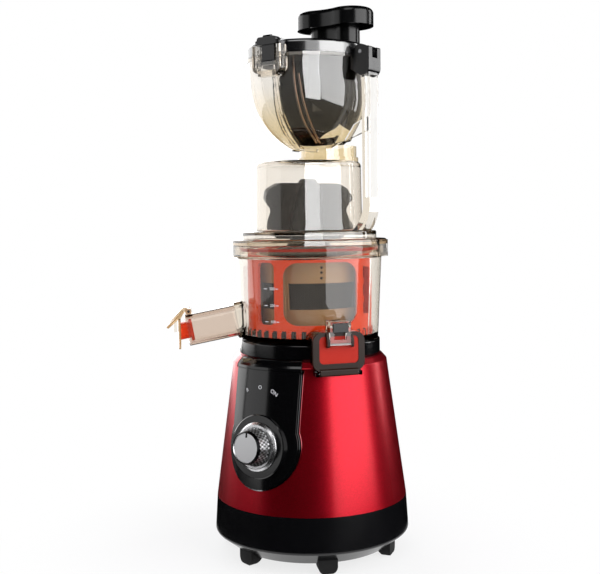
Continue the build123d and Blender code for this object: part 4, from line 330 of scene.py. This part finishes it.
def black_plastic(name, colour, rough, grain_mm, depth_mm, extra=None):
    """Opaque black moulding: grain_mm is the size of its surface's unevenness."""
    material, tree, shader, mm = start(name, {
        "Base Color": linear(colour), "Roughness": rough, **(extra or {})})
    grain = add(tree, "ShaderNodeTexNoise", {"Scale": 1 / grain_mm, "Detail": 3.0}, {"Vector": mm})
    height = add(tree, "ShaderNodeBump", {"Strength": 0.25, "Distance": depth_mm * MM},
                 {"Height": grain.outputs[0]})
    tree.links.new(height.outputs[0], shader.inputs["Normal"])
    smudge = add(tree, "ShaderNodeTexNoise", {"Scale": 1 / SMUDGE_MM, "Detail": 3.0}, {"Vector": mm})
    spread = add(tree, "ShaderNodeMapRange", {"To Min": rough * 0.8, "To Max": rough * 1.3},
                 {"Value": smudge.outputs[0]})
    tree.links.new(spread.outputs[0], shader.inputs["Roughness"])
    return material


guard_black = black_plastic("abs_black_guard", "#040404", 0.3, 22.0, 0.1, {"Specular IOR Level": 0.08})
brown = black_plastic("abs_brown_moulded", "#24140C", 0.3, 14.0, 0.1, {"Specular IOR Level": 0.3})
handle_black = black_plastic("abs_black_handle", "#060607", 0.2, 22.0, 0.1, {"Specular IOR Level": 0.5})
GLOSS = {"Specular IOR Level": 0.55, "Coat Weight": 0.2, "Coat Roughness": 0.1}
polished_black = black_plastic("abs_black_polished", "#060607", 0.14, 22.0, 0.1, GLOSS)
lacquered_black = black_plastic("abs_black_lacquered", "#060607", 0.2, 22.0, 0.1, {
    "Specular IOR Level": 1.0, "Coat Weight": 1.0, "Coat Roughness": 0.1, "Coat IOR": 1.9})
satin_black = black_plastic("abs_black_satin", "#08080A", 0.2, 0.9, 0.02, {"Specular IOR Level": 0.5})
matt_black = black_plastic("pp_black_moulded", "#121214", 0.5, 1.4, 0.05)
rubber = black_plastic("rubber_black_moulded", "#161616", 0.75, 1.1, 0.08, {"Specular IOR Level": 0.25})
print("finishes so far:", len(bpy.data.materials))

# %% [markdown]
# ## Red lacquer
# The housing is sprayed with a metallic base coat and a red-tinted clear lacquer. Metal flakes
# lie nearly flat in the coat and flash where they face a lamp, which is a metallic lobe with a
# little cell noise in colour and slope; the lacquer is the Principled shader's coat.

# %% Red lacquer
FLAKE_MM = 0.9      # real flakes are 0.05 mm: drawn coarse enough to show as a shimmer
lacquer, tree, shader, mm = start("lacquer_red_metallic_sprayed", {
    "Base Color": linear("#C00A1C"), "Metallic": 0.92, "Roughness": 0.33,
    "Coat Weight": 0.35, "Coat Roughness": 0.2, "Coat IOR": 1.5})
flakes = add(tree, "ShaderNodeTexVoronoi", {"Scale": 1 / FLAKE_MM}, {"Vector": mm})
flash = add(tree, "ShaderNodeMix", {"data_type": "RGBA", 6: linear("#B4081C"), 7: linear("#C80C26")},
            {0: flakes.outputs["Color"]})
tree.links.new(flash.outputs[2], shader.inputs["Base Color"])
slope = add(tree, "ShaderNodeBump", {"Strength": 0.05, "Distance": 0.05 * MM},
            {"Height": flakes.outputs["Color"]})
tree.links.new(slope.outputs[0], shader.inputs["Normal"])
print("flakes drawn at", FLAKE_MM, "mm")

# %% [markdown]
# ## Red and orange parts in the bowl
# The spinning frame is orange polypropylene, a little waxy, so a touch of light enters it. The
# wipers, plug and seals are silicone rubber: softer, redder, with a satin skin.

# %% Orange moulding and red silicone
SKIN_MM = 1.2       # the grain of a satin mould is 0.1 mm: drawn coarse enough to show


def soft_moulding(name, colour, other, rough, blush_mm, enter):
    """Waxy coloured moulding: two near colours in clouds, and light that enters by a mm or so."""
    material, tree, shader, mm = start(name, {
        "Base Color": linear(colour), "Roughness": rough, "Specular IOR Level": 0.2,
        "Subsurface Weight": enter, "Subsurface Scale": 2 * MM})
    cloud = add(tree, "ShaderNodeTexNoise", {"Scale": 1 / blush_mm, "Detail": 3.0}, {"Vector": mm})
    mixed = add(tree, "ShaderNodeMix", {"data_type": "RGBA", 6: linear(colour), 7: linear(other)},
                {0: cloud.outputs[0]})
    tree.links.new(mixed.outputs[2], shader.inputs["Base Color"])
    skin = add(tree, "ShaderNodeTexNoise", {"Scale": 1 / SKIN_MM, "Detail": 2.0}, {"Vector": mm})
    height = add(tree, "ShaderNodeBump", {"Strength": 0.2, "Distance": 0.04 * MM},
                 {"Height": skin.outputs[0]})
    tree.links.new(height.outputs[0], shader.inputs["Normal"])
    return material


orange = soft_moulding("polypropylene_orange_moulded", "#EC4806", "#E24004", 0.34, 26.0, 0.1)
plug_rubber = soft_moulding("silicone_orange_moulded", "#E84010", "#DC380C", 0.4, 14.0, 0.15)
silicone = soft_moulding("silicone_red_moulded", "#B01E08", "#A21806", 0.45, 18.0, 0.15)
acetal = soft_moulding("acetal_white_moulded", "#E6E4DC", "#DDDAD0", 0.38, 16.0, 0.1)
print("finishes so far:", len(bpy.data.materials))

# %% [markdown]
# ## Painted shade at the frame's foot
# The orange frame has forty small cogs round its foot, which wash out behind the clear wall. So
# dark stripes of painted shade stand in for the shade in the gaps: the angle round the axis is
# cut into forty steps, and the first part of each step is dark. They have the cogs' spacing, but
# each starts at a cog's middle, so they darken half of every cog as well as part of the gap.
# Taking a quarter of a step off the count, before its fraction is found, would set them in the gaps.

# %% Painted shade stripes at the frame's foot
COGS = 40
# Painted shade stripes: their top height, and the share of each step that is dark.
PAINTED_SHADE_TOP_Z = 207.2
PAINTED_SHADE_SHARE = 0.45

tree, shader = orange.node_tree, orange.node_tree.nodes["Principled BSDF"]
place = add(tree, "ShaderNodeTexCoord")
apart = add(tree, "ShaderNodeSeparateXYZ", {}, {0: place.outputs["Object"]})
angle = add(tree, "ShaderNodeMath", {"operation": "ARCTAN2"},
            {0: apart.outputs["Y"], 1: apart.outputs["X"]})
count = add(tree, "ShaderNodeMath", {"operation": "MULTIPLY", 1: COGS / math.tau}, {0: angle.outputs[0]})
step = add(tree, "ShaderNodeMath", {"operation": "FRACT"}, {0: count.outputs[0]})
dark = add(tree, "ShaderNodeMath", {"operation": "LESS_THAN", 1: PAINTED_SHADE_SHARE}, {0: step.outputs[0]})
low = add(tree, "ShaderNodeMath", {"operation": "LESS_THAN", 1: PAINTED_SHADE_TOP_Z * MM},
          {0: apart.outputs["Z"]})
shade = add(tree, "ShaderNodeMath", {"operation": "MULTIPLY"}, {0: dark.outputs[0], 1: low.outputs[0]})
plain = shader.inputs["Base Color"].links[0].from_socket
# Painted shade: the stripes are mixed to near-black over the frame's own orange.
painted_gap_shade = add(tree, "ShaderNodeMix", {"data_type": "RGBA", 7: linear("#1A0804")},
              {0: shade.outputs[0], 6: plain})
tree.links.new(painted_gap_shade.outputs[2], shader.inputs["Base Color"])
print("stripes:", COGS)

# %% [markdown]
# ## Strainer cup
# The cup is a hard amber plastic with a filler, so it lets a little light through without being
# clear. Two near tones in clouds keep the moulding from looking like paint.

# %% Strainer cup
CLOUD_MM = 20.0

cup, tree, shader, mm = start("ultem_amber_moulded", {
    "Base Color": linear("#C9A57C"), "Roughness": 0.22, "Transmission Weight": 0.35, "IOR": 1.6,
    "Subsurface Weight": 0.1, "Subsurface Scale": 2 * MM})
cloud = add(tree, "ShaderNodeTexNoise", {"Scale": 1 / CLOUD_MM, "Detail": 3.0}, {"Vector": mm})
tone = add(tree, "ShaderNodeMix", {"data_type": "RGBA", 6: linear("#C4A47A"), 7: linear("#A88458")},
           {0: cloud.outputs[0]})
tree.links.new(tone.outputs[2], shader.inputs["Base Color"])
print("cup clouds run over", CLOUD_MM, "mm")

# %% [markdown]
# ## Perforated steel and the screw
# The strainer's band is stainless sheet with fine round holes. Thousands of real holes would be
# a heavy mesh, so the pattern draws them as dark dots with a dent. The screw and cutter are
# glass-filled plastic: nearly black, slightly rough, with faint streaks of flow.

# %% Perforated steel and the screw
HOLE_MM = 1.5       # holes are 0.3 mm on 0.7 mm: drawn at about twice the pitch to show

sheet, tree, shader, mm = start("stainless_sheet_perforated", {
    "Base Color": linear("#2A2724"), "Metallic": 1.0, "Roughness": 0.38})
holes = add(tree, "ShaderNodeTexVoronoi", {"Scale": 1 / HOLE_MM, "Randomness": 0.0}, {"Vector": mm})
pierced = add(tree, "ShaderNodeMapRange", {"From Min": 0.22, "From Max": 0.34},
              {"Value": holes.outputs["Distance"]})
dark = add(tree, "ShaderNodeMix", {"data_type": "RGBA", 6: linear("#080706"), 7: linear("#2A2724")},
           {0: pierced.outputs[0]})
tree.links.new(dark.outputs[2], shader.inputs["Base Color"])
dent = add(tree, "ShaderNodeBump", {"Strength": 0.5, "Distance": 0.2 * MM},
           {"Height": pierced.outputs[0]})
tree.links.new(dent.outputs[0], shader.inputs["Normal"])

screw = black_plastic("nylon_glass_filled_moulded", "#0C0A09", 0.3, 6.0, 0.15,
                      {"Specular IOR Level": 0.25})
print("holes drawn every", HOLE_MM, "mm")

# %% [markdown]
# ## Metals
# Chrome on the knob's ring and the panel's line, satin aluminium on the knob, and the machined,
# cast, laminated and wound metals of the motor and gears. Brushing is noise stretched along one
# direction, cast skin is fine pits, and laminations are bands of noise half a millimetre thick.

# %% Metals
def metal(name, colour, rough, stretch, grain_mm, depth_mm):
    """Bare metal: its grain is noise squeezed by stretch, three numbers along x, y and z."""
    material, tree, shader, mm = start(name, {
        "Base Color": linear(colour), "Metallic": 1.0, "Roughness": rough})
    squeezed = add(tree, "ShaderNodeVectorMath", {"operation": "MULTIPLY", 1: stretch}, {0: mm})
    grain = add(tree, "ShaderNodeTexNoise", {"Scale": 1 / grain_mm, "Detail": 3.0},
                {"Vector": squeezed.outputs["Vector"]})
    spread = add(tree, "ShaderNodeMapRange", {"To Min": rough * 0.75, "To Max": rough * 1.3},
                 {"Value": grain.outputs[0]})
    tree.links.new(spread.outputs[0], shader.inputs["Roughness"])
    height = add(tree, "ShaderNodeBump", {"Strength": 0.3, "Distance": depth_mm * MM},
                 {"Height": grain.outputs[0]})
    tree.links.new(height.outputs[0], shader.inputs["Normal"])
    return material


chrome = metal("chrome_plated_polished", "#C9C9CC", 0.09, (1, 1, 1), 6.0, 0.02)
satin_chrome = metal("chrome_satin_plated", "#E4E4E6", 0.26, (1, 1, 1), 3.0, 0.01)
satin_aluminium = metal("aluminium_satin_turned", "#E8E8EA", 0.3, (1, 1, 1), 0.7, 0.01)
machined_steel = metal("steel_ground", "#A9A9AC", 0.25, (1, 1, 6), 1.2, 0.01)
cast_aluminium = metal("aluminium_die_cast", "#A6A6A8", 0.5, (1, 1, 1), 0.8, 0.06)
laminated_steel = metal("steel_laminated", "#7C7C80", 0.42, (0.05, 0.05, 2), 1.0, 0.08)
enamelled_copper = metal("copper_enamelled_wound", "#C2703A", 0.3, (0.3, 0.3, 2), 1.0, 0.12)
print("finishes so far:", len(bpy.data.materials))

# %% [markdown]
# ## Circuit board
# The board is green fibreglass with copper tracks etched under its varnish. Cells measured along
# straight streets, not as the crow flies, give the right-angled look of such tracks.

# %% Circuit board
TRACK_MM = 4.0

board, tree, shader, mm = start("fibreglass_green_etched", {
    "Base Color": linear("#1C6B3A"), "Roughness": 0.4})
tracks = add(tree, "ShaderNodeTexVoronoi", {"Scale": 1 / TRACK_MM, "distance": "MANHATTAN"}, {"Vector": mm})
etched = add(tree, "ShaderNodeMix", {"data_type": "RGBA", 6: linear("#1C6B3A"), 7: linear("#2E8A50")},
             {0: tracks.outputs["Distance"]})
tree.links.new(etched.outputs[2], shader.inputs["Base Color"])
print("tracks about", TRACK_MM, "mm apart")

# %% [markdown]
# ## The knurled knob
# The knob is turned from one bar: a satin face with a black ring and a pointer line, and a
# knurled grip. Its mesh has plain grooves along the grip, and a checker adds the crossed cells as
# a bump, with painted shade darkening the cut cells' colour. The knob's axis leans back with the
# panel, so the coordinates are turned until the axis is z. Angle and height then make a checker
# that wraps round the grip.

# %% Knob coordinates and knurl
KNOB_LEAN = math.radians(-82.2)
KNOB_SHIFT = (0.0, -97.9, -95.79)      # brings the point of the panel under the knob to zero
CELLS_ROUND = 56    # a knurl is about 1 mm: drawn coarser, round and along, so that it shows
CELL_MM = 2.4

knurled, tree, shader, mm = start("aluminium_turned_knurled", {
    "Base Color": linear("#E8E8EA"), "Metallic": 1.0, "Roughness": 0.3})
upright = add(tree, "ShaderNodeMapping", {"Location": KNOB_SHIFT, "Rotation": (KNOB_LEAN, 0, 0)},
              {"Vector": mm})
apart = add(tree, "ShaderNodeSeparateXYZ", {}, {0: upright.outputs[0]})
x, y, along = (apart.outputs[i] for i in range(3))
angle = add(tree, "ShaderNodeMath", {"operation": "ARCTAN2"}, {0: y, 1: x})
turn = add(tree, "ShaderNodeMath", {"operation": "MULTIPLY", 1: CELLS_ROUND / math.tau},
           {0: angle.outputs[0]})
row = add(tree, "ShaderNodeMath", {"operation": "DIVIDE", 1: CELL_MM}, {0: along})
cell = add(tree, "ShaderNodeCombineXYZ", {2: 0.5}, {0: turn.outputs[0], 1: row.outputs[0]})
squares = add(tree, "ShaderNodeTexChecker", {"Scale": 1.0}, {"Vector": cell.outputs[0]})
print("knurl:", CELLS_ROUND, "cells round")

# %% [markdown]
# ## Where the knob is dark: marks and painted shade
# Which part of the knob is ring, pointer or grip is plain arithmetic on those coordinates. The
# ring and pointer are dark marks, and the grip's cut cells are darkened as painted shade. Each
# row below is one step: its name, what it does, and what it works on, which is a number or the
# name of an earlier step. A table reads more easily than twenty nested calls.

# %% Ring, pointer and grip
RING_IN, RING_OUT = 12.6, 14.2
FACE_AT = 15.6      # how far the knob's face stands out
POINTER_HALF, POINTER_FROM = 0.9, 8.6
# how far the knurl's cut cells are darkened towards black, as painted shade
CUT_SHADE = 0.8

found = {"x": x, "y": y, "along": along, "squares": squares.outputs["Fac"]}
for name, operation, *terms in (
        ("x_squared", "MULTIPLY", "x", "x"),
        ("y_squared", "MULTIPLY", "y", "y"),
        ("radius_squared", "ADD", "x_squared", "y_squared"),
        ("radius", "SQRT", "radius_squared"),
        ("outer", "GREATER_THAN", "radius", RING_OUT),
        ("side", "LESS_THAN", "along", FACE_AT),
        ("grip", "MULTIPLY", "outer", "side"),
        ("cut", "MULTIPLY", "squares", "grip"),
        ("past_ring_in", "GREATER_THAN", "radius", RING_IN),
        ("inside_ring_out", "LESS_THAN", "radius", RING_OUT),
        ("ring", "MULTIPLY", "past_ring_in", "inside_ring_out"),
        ("off_middle", "ABSOLUTE", "x"),
        ("narrow", "LESS_THAN", "off_middle", POINTER_HALF),
        ("high", "GREATER_THAN", "y", POINTER_FROM),
        ("pointer", "MULTIPLY", "narrow", "high"),
        ("front", "GREATER_THAN", "along", FACE_AT),
        ("mark", "MAXIMUM", "ring", "pointer"),
        ("marked", "MULTIPLY", "mark", "front"),
        ("painted_cut_shade", "MULTIPLY", "cut", CUT_SHADE),
        ("dark", "MAXIMUM", "painted_cut_shade", "marked")):
    numbers = {i: term for i, term in enumerate(terms) if not isinstance(term, str)}
    sockets = {i: found[term] for i, term in enumerate(terms) if isinstance(term, str)}
    found[name] = add(tree, "ShaderNodeMath", {"operation": operation, **numbers}, sockets).outputs[0]

# Ring and pointer are dark marks; the knurl's cut cells get the same near-black as painted shade.
painted = add(tree, "ShaderNodeMix", {
    "data_type": "RGBA", 6: linear("#E8E8EA"), 7: linear("#141416")}, {0: found["dark"]})
tree.links.new(painted.outputs[2], shader.inputs["Base Color"])
bite = add(tree, "ShaderNodeBump", {"Strength": 0.6, "Distance": 0.3 * MM, "invert": True},
           {"Height": found["cut"]})
tree.links.new(bite.outputs[0], shader.inputs["Normal"])
print("knob steps:", len(found))

# %% [markdown]
# ## Dressing the parts
# Each part of the frame keeps its mesh and only gets its finish, so one table says it all. The
# last line names any part that the table forgot.

# %% Give every part its material
DRESS = {
    lacquer: ["housing"],
    polished_black: ["control_panel", "top_ring", "lid_latch"],
    handle_black: ["pusher", "latch_pad", "hinge_block"],
    guard_black: ["feed_tube"],
    lacquered_black: ["hopper_lid"],
    satin_black: ["base_skirt"],
    matt_black: ["base_plate", "switch_body", "interlock_switch", "cooling_fan"],
    rubber: ["feet", "shaft_seal", "cord_inlet"],
    smoke: ["juicing_bowl", "chamber_lid"],
    smoke_painted_belly: ["hopper"],
    brown: ["pulp_flap"],
    amber: ["juice_spout"],
    pale_amber: ["anti_drip_cap"],
    water_clear: ["handle_column", "pulp_latch"],
    orange: ["brush_frame"],
    plug_rubber: ["cap_plug"],
    silicone: ["brush_wipers", "pulp_seal", "lid_seal"],
    acetal: ["interlock_pin", "brush_gear", "planet_gear_1", "planet_gear_2", "planet_gear_3"],
    cup: ["strainer"],
    sheet: ["strainer_mesh"],
    screw: ["auger", "cutter"],
    chrome: ["panel_trim"],
    satin_chrome: ["knob_ring"],
    knurled: ["knob"],
    machined_steel: ["base_screws", "interlock_spring", "case_screws", "output_bearing", "motor_bearings",
                     "drive_shaft", "cap_pin", "flap_pin", "latch_pin", "hinge_pin", "latch_button_pin"],
    cast_aluminium: ["gear_case", "motor_shield_top", "motor_shield_low"],
    laminated_steel: ["motor_stator", "motor_rotor"],
    enamelled_copper: ["motor_windings"],
    board: ["control_board"],
}
dressed = set()
for material, names in DRESS.items():
    for name in names:
        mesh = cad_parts[name].data
        mesh.materials.clear()
        mesh.materials.append(material)
        dressed.add(name)
print("dressed", len(dressed), "of", len(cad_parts), "missing:", sorted(set(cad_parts) - dressed))

# %% [markdown]
# ## Marks printed on round walls
# The plain switch marks are screen-printed on the panel, and the fill lines on the bowl. Ink is
# a skin 0.1 mm thick, so each mark is a flat outline that is laid on the wall: its own x becomes
# an angle round the axis, its own y a height, and its z stands out from the wall's radius.

# %% The walls, and how a flat mark is laid on them
HOUSING_FOOT_R, HOUSING_FOOT_Z, HOUSING_TILT = 87.0, 53.0, math.atan(17 / 124)
PANEL_PROUD = 2.4
BOWL_FOOT_R, BOWL_FOOT_Z, BOWL_FLARE = 62.5, 196.0, 3.5 / 74
CUP_FOOT_R, CUP_FOOT_Z, CUP_FLARE = 43.5, 209.5, 3.0 / 58.5
INK_MM = 0.1


def panel_radius(z):
    """The panel stands proud of the housing's cone."""
    cone = HOUSING_FOOT_R - (z - HOUSING_FOOT_Z) * math.tan(HOUSING_TILT)
    return cone + PANEL_PROUD / math.cos(HOUSING_TILT)


def bowl_radius(z):
    """The bowl's outer wall."""
    return BOWL_FOOT_R + (z - BOWL_FOOT_Z) * BOWL_FLARE


def cup_radius(z):
    """The strainer cup's outer wall."""
    return CUP_FOOT_R + (z - CUP_FOOT_Z) * CUP_FLARE


def lay_on_wall(name, corners, faces, radius_at, angle, height, body, material, turn=0.0):
    """A flat mark in mm, turned on the wall, laid at an angle (degrees from the front) and a height."""
    c, n = math.cos(math.radians(turn)), math.sin(math.radians(turn))
    laid = []
    for x, y, out in corners:
        across, up = c * x - n * y, n * x + c * y + height
        r = radius_at(up) + out
        a = math.radians(angle) + across / r
        laid.append((r * math.sin(a) * MM, -r * math.cos(a) * MM, up * MM))
    mesh = bpy.data.meshes.new(name)
    mesh.from_pydata(laid, [], faces)
    mesh.materials.append(material)
    piece = bpy.data.objects.new(name, mesh)
    bpy.context.collection.objects.link(piece)
    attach(piece, body)
    return piece


# %% [markdown]
# ## Outlines and ink
# A word is a text object turned into a mesh, so that its corners can be moved one by one. A
# line is cut in short steps, because one long face couldn't follow the wall. Screen printing
# leaves the ink slightly patchy.

# %% Outlines and ink
INK_GRAIN_MM = 0.6


def letters(text, tall_mm):
    """Corners and faces of a word, centred, as a skin of ink."""
    word = bpy.data.curves.new("word", "FONT")
    word.body, word.align_x, word.align_y = text, "CENTER", "CENTER"
    word.size, word.extrude, word.resolution_u = tall_mm * 1.4, INK_MM / 2, 3
    holder = bpy.data.objects.new("word", word)
    mesh = bpy.data.meshes.new_from_object(holder)
    corners = [(v.co.x, v.co.y, v.co.z + INK_MM / 2) for v in mesh.vertices]
    faces = [tuple(p.vertices) for p in mesh.polygons]
    bpy.data.objects.remove(holder)
    return corners, faces


def bar(long_mm, thick_mm, steps=8):
    """A straight line of ink, cut in short steps so that it can bend."""
    corners, faces = [], []
    for i in range(steps + 1):
        x = long_mm * (i / steps - 0.5)
        corners += [(x, -thick_mm / 2, INK_MM), (x, thick_mm / 2, INK_MM)]
    faces = [(2 * i, 2 * i + 2, 2 * i + 3, 2 * i + 1) for i in range(steps)]
    return corners, faces


ink, tree, shader, mm = start("ink_grey_screen_printed", {
    "Base Color": linear("#D8D8DA"), "Roughness": 0.5})
speck = add(tree, "ShaderNodeTexNoise", {"Scale": 1 / INK_GRAIN_MM, "Detail": 2.0}, {"Vector": mm})
patchy = add(tree, "ShaderNodeMix", {"data_type": "RGBA", 6: linear("#C6C6C9"), 7: linear("#E6E6E8")},
             {0: speck.outputs[0]})
tree.links.new(patchy.outputs[2], shader.inputs["Base Color"])
print("ink", INK_MM, "mm thick")

# %% [markdown]
# ## Switch marks and fill lines
# The switch marks fan out over the knob and ride on the base. The fill marks ride on the bowl,
# so they leave with it when it is lifted.

# %% Switch marks and fill lines
MARK_TALL, NUMBER_TALL, LINE_THICK = 3.4, 2.6, 0.7
NUMBER_AT = 4.4     # degrees from the front

marks = []
for name, text, angle, height, turn in (
        ("mark_reverse", "R", -12.6, 156.4, 30), ("mark_off", "O", -1.4, 160.0, 0),
        ("mark_on", "ON", 9.6, 156.4, -33)):
    corners, faces = letters(text, MARK_TALL)
    marks.append(lay_on_wall(name, corners, faces, panel_radius, angle, height, "base", ink, turn))

for number, height in (("300", 244.4), ("200", 229.9), ("100", 215.8)):
    corners, faces = letters(number, NUMBER_TALL)
    marks.append(lay_on_wall("fill_number_" + number, corners, faces, bowl_radius, NUMBER_AT, height,
                             "bowl", ink))
    for side, middle, long_mm in (("left", -1.6, 3.6), ("right", 8.6, 2.4)):
        corners, faces = bar(long_mm, LINE_THICK)
        marks.append(lay_on_wall("fill_line_" + number + "_" + side, corners, faces, bowl_radius,
                                 middle, height, "bowl", ink))
print("marks laid:", len(marks))

# %% [markdown]
# ## Dimples on the strainer
# Three small domes stand in a row on the cup. On such machines they help to set it the right way
# round. Each is laid on the cup's wall in the same way as the ink.

# %% Dimples on the strainer
DIMPLE_R = 1.2
DIMPLE_AT = 47.5    # degrees from the front


def disc(radius_mm, sides=16, dome_mm=0.4):
    """Corners and faces of a low dome."""
    corners = [(0, 0, dome_mm)]
    for share, lift in ((0.6, 0.8), (1.0, 0.0)):
        corners += [(share * radius_mm * math.cos(math.tau * i / sides),
                     share * radius_mm * math.sin(math.tau * i / sides), lift * dome_mm)
                    for i in range(sides)]
    faces = [(0, 1 + i, 1 + (i + 1) % sides) for i in range(sides)]
    faces += [(1 + i, 1 + sides + i, 1 + sides + (i + 1) % sides, 1 + (i + 1) % sides)
              for i in range(sides)]
    return corners, faces


dimples = []
for i, height in enumerate((261.8, 257.5, 252.6)):
    corners, faces = disc(DIMPLE_R)
    dimples.append(lay_on_wall("strainer_dimple_" + str(i + 1), corners, faces, cup_radius,
                               DIMPLE_AT, height, "bowl", screw))
print("dimples:", len(dimples))

# %% [markdown]
# ## Ribs in the hopper
# Two thin ribs of darker plastic run down inside the hopper's front wall. A rib is a curve with
# a round section: a few points give the whole sweep, and automatic handles keep it smooth.

# %% Ribs in the hopper
RIB_R = 0.8
RIBS = {
    "hopper_rib_left": [(18.1, -46.7, 442.6), (18.2, -45.6, 422.2), (18.9, -40.9, 403.2),
                        (19.3, -31.4, 386.2), (20.8, -16.1, 371.2)],
    "hopper_rib_right": [(21.7, -44.4, 427.8), (23.3, -38.8, 403.0), (23.5, -28.9, 386.1),
                         (22.9, -14.6, 371.2)],
}
for name, knots in RIBS.items():
    path = bpy.data.curves.new(name, "CURVE")
    path.dimensions, path.use_fill_caps = "3D", True
    path.bevel_depth, path.bevel_resolution = RIB_R * MM, 3
    line = path.splines.new("BEZIER")
    line.bezier_points.add(len(knots) - 1)
    for knot, place in zip(line.bezier_points, knots):
        knot.co = [value * MM for value in place]
        knot.handle_left_type = knot.handle_right_type = "AUTO"
    path.materials.append(ribbed_amber)
    rib = bpy.data.objects.new(name, path)
    bpy.context.collection.objects.link(rib)
    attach(rib, "lid_and_hopper")
print("ribs:", list(RIBS))

# %% [markdown]
# ## Panel's top edge and the arrow lens
# The black panel runs on over the housing's chamfer, up to the drip ring, and a small smoked
# lens lies on that slope. Both are solids swept round the machine's axis, so they follow its
# round form. The lens is straight above and round below, so its outline changes on the way.

# %% Panel's top edge and the arrow lens
SOFT_EDGE_MM = 0.35
PANEL_SPREAD = 28.2     # degrees to each side of the front
STEPS = 28
SLOPE_TOP = (67.6, 182.6)
SLOPE_MM = 3.6      # inwards and upwards alike, so the slope is 45 degrees
LENS_FROM, LENS_SPREAD = -28.0, 13.5
LENS_PROUD = 0.3


def shell(name, angles, outline, body, material):
    """A solid swept round the axis. Its outline (radius, height) in mm may follow the share swept."""
    rings = [outline(i / (len(angles) - 1)) for i in range(len(angles))]
    n = len(rings[0])
    corners = [(r * math.sin(math.radians(a)) * MM, -r * math.cos(math.radians(a)) * MM, z * MM)
               for a, ring in zip(angles, rings) for r, z in ring]
    faces = [(i * n + k, i * n + (k + 1) % n, (i + 1) * n + (k + 1) % n, (i + 1) * n + k)
             for i in range(len(angles) - 1) for k in range(n)]
    faces += [tuple(range(n)), tuple(reversed(range((len(angles) - 1) * n, len(angles) * n)))]
    mesh = bpy.data.meshes.new(name)
    mesh.from_pydata(corners, [], faces)
    mesh.materials.append(material)
    piece = bpy.data.objects.new(name, mesh)
    bpy.context.collection.objects.link(piece)
    soft = piece.modifiers.new("soft_edges", "BEVEL")
    soft.width, soft.segments, soft.limit_method = SOFT_EDGE_MM * MM, 2, "ANGLE"
    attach(piece, body)
    return piece


def panel_edge(share):
    """The panel's edge is the same all the way, so the share isn't used."""
    return [(72.55, 174.6), (72.3, 177.2), (71.2, 179.0), SLOPE_TOP, (64.5, 183.2),
            (64.5, 181.6), (66.0, 181.4), (69.6, 177.2), (70.2, 174.6)]


def lens(share):
    """From a tenth of the way down the slope, the lens hangs lowest in its middle."""
    slope = (0.1, 0.1 + 0.8 * math.sin(math.pi * (0.06 + 0.88 * share)))
    (top_r, top_z), (low_r, low_z) = [
        (SLOPE_TOP[0] + SLOPE_MM * part, SLOPE_TOP[1] - SLOPE_MM * part) for part in slope]
    return [(top_r + LENS_PROUD, top_z + LENS_PROUD), (low_r + LENS_PROUD, low_z + LENS_PROUD),
            (low_r - LENS_PROUD, low_z - LENS_PROUD), (top_r - LENS_PROUD, top_z - LENS_PROUD)]


smoked_lens = black_plastic("acrylic_smoked_lens", "#453D28", 0.15, 14.0, 0.05)
added = [
    shell("panel_top_edge", [PANEL_SPREAD * (2 * i / STEPS - 1) for i in range(STEPS + 1)],
          panel_edge, "base", polished_black),
    shell("arrow_lens", [LENS_FROM + LENS_SPREAD * i / STEPS for i in range(STEPS + 1)],
          lens, "base", smoked_lens),
]
print("added:", [piece.name for piece in added])
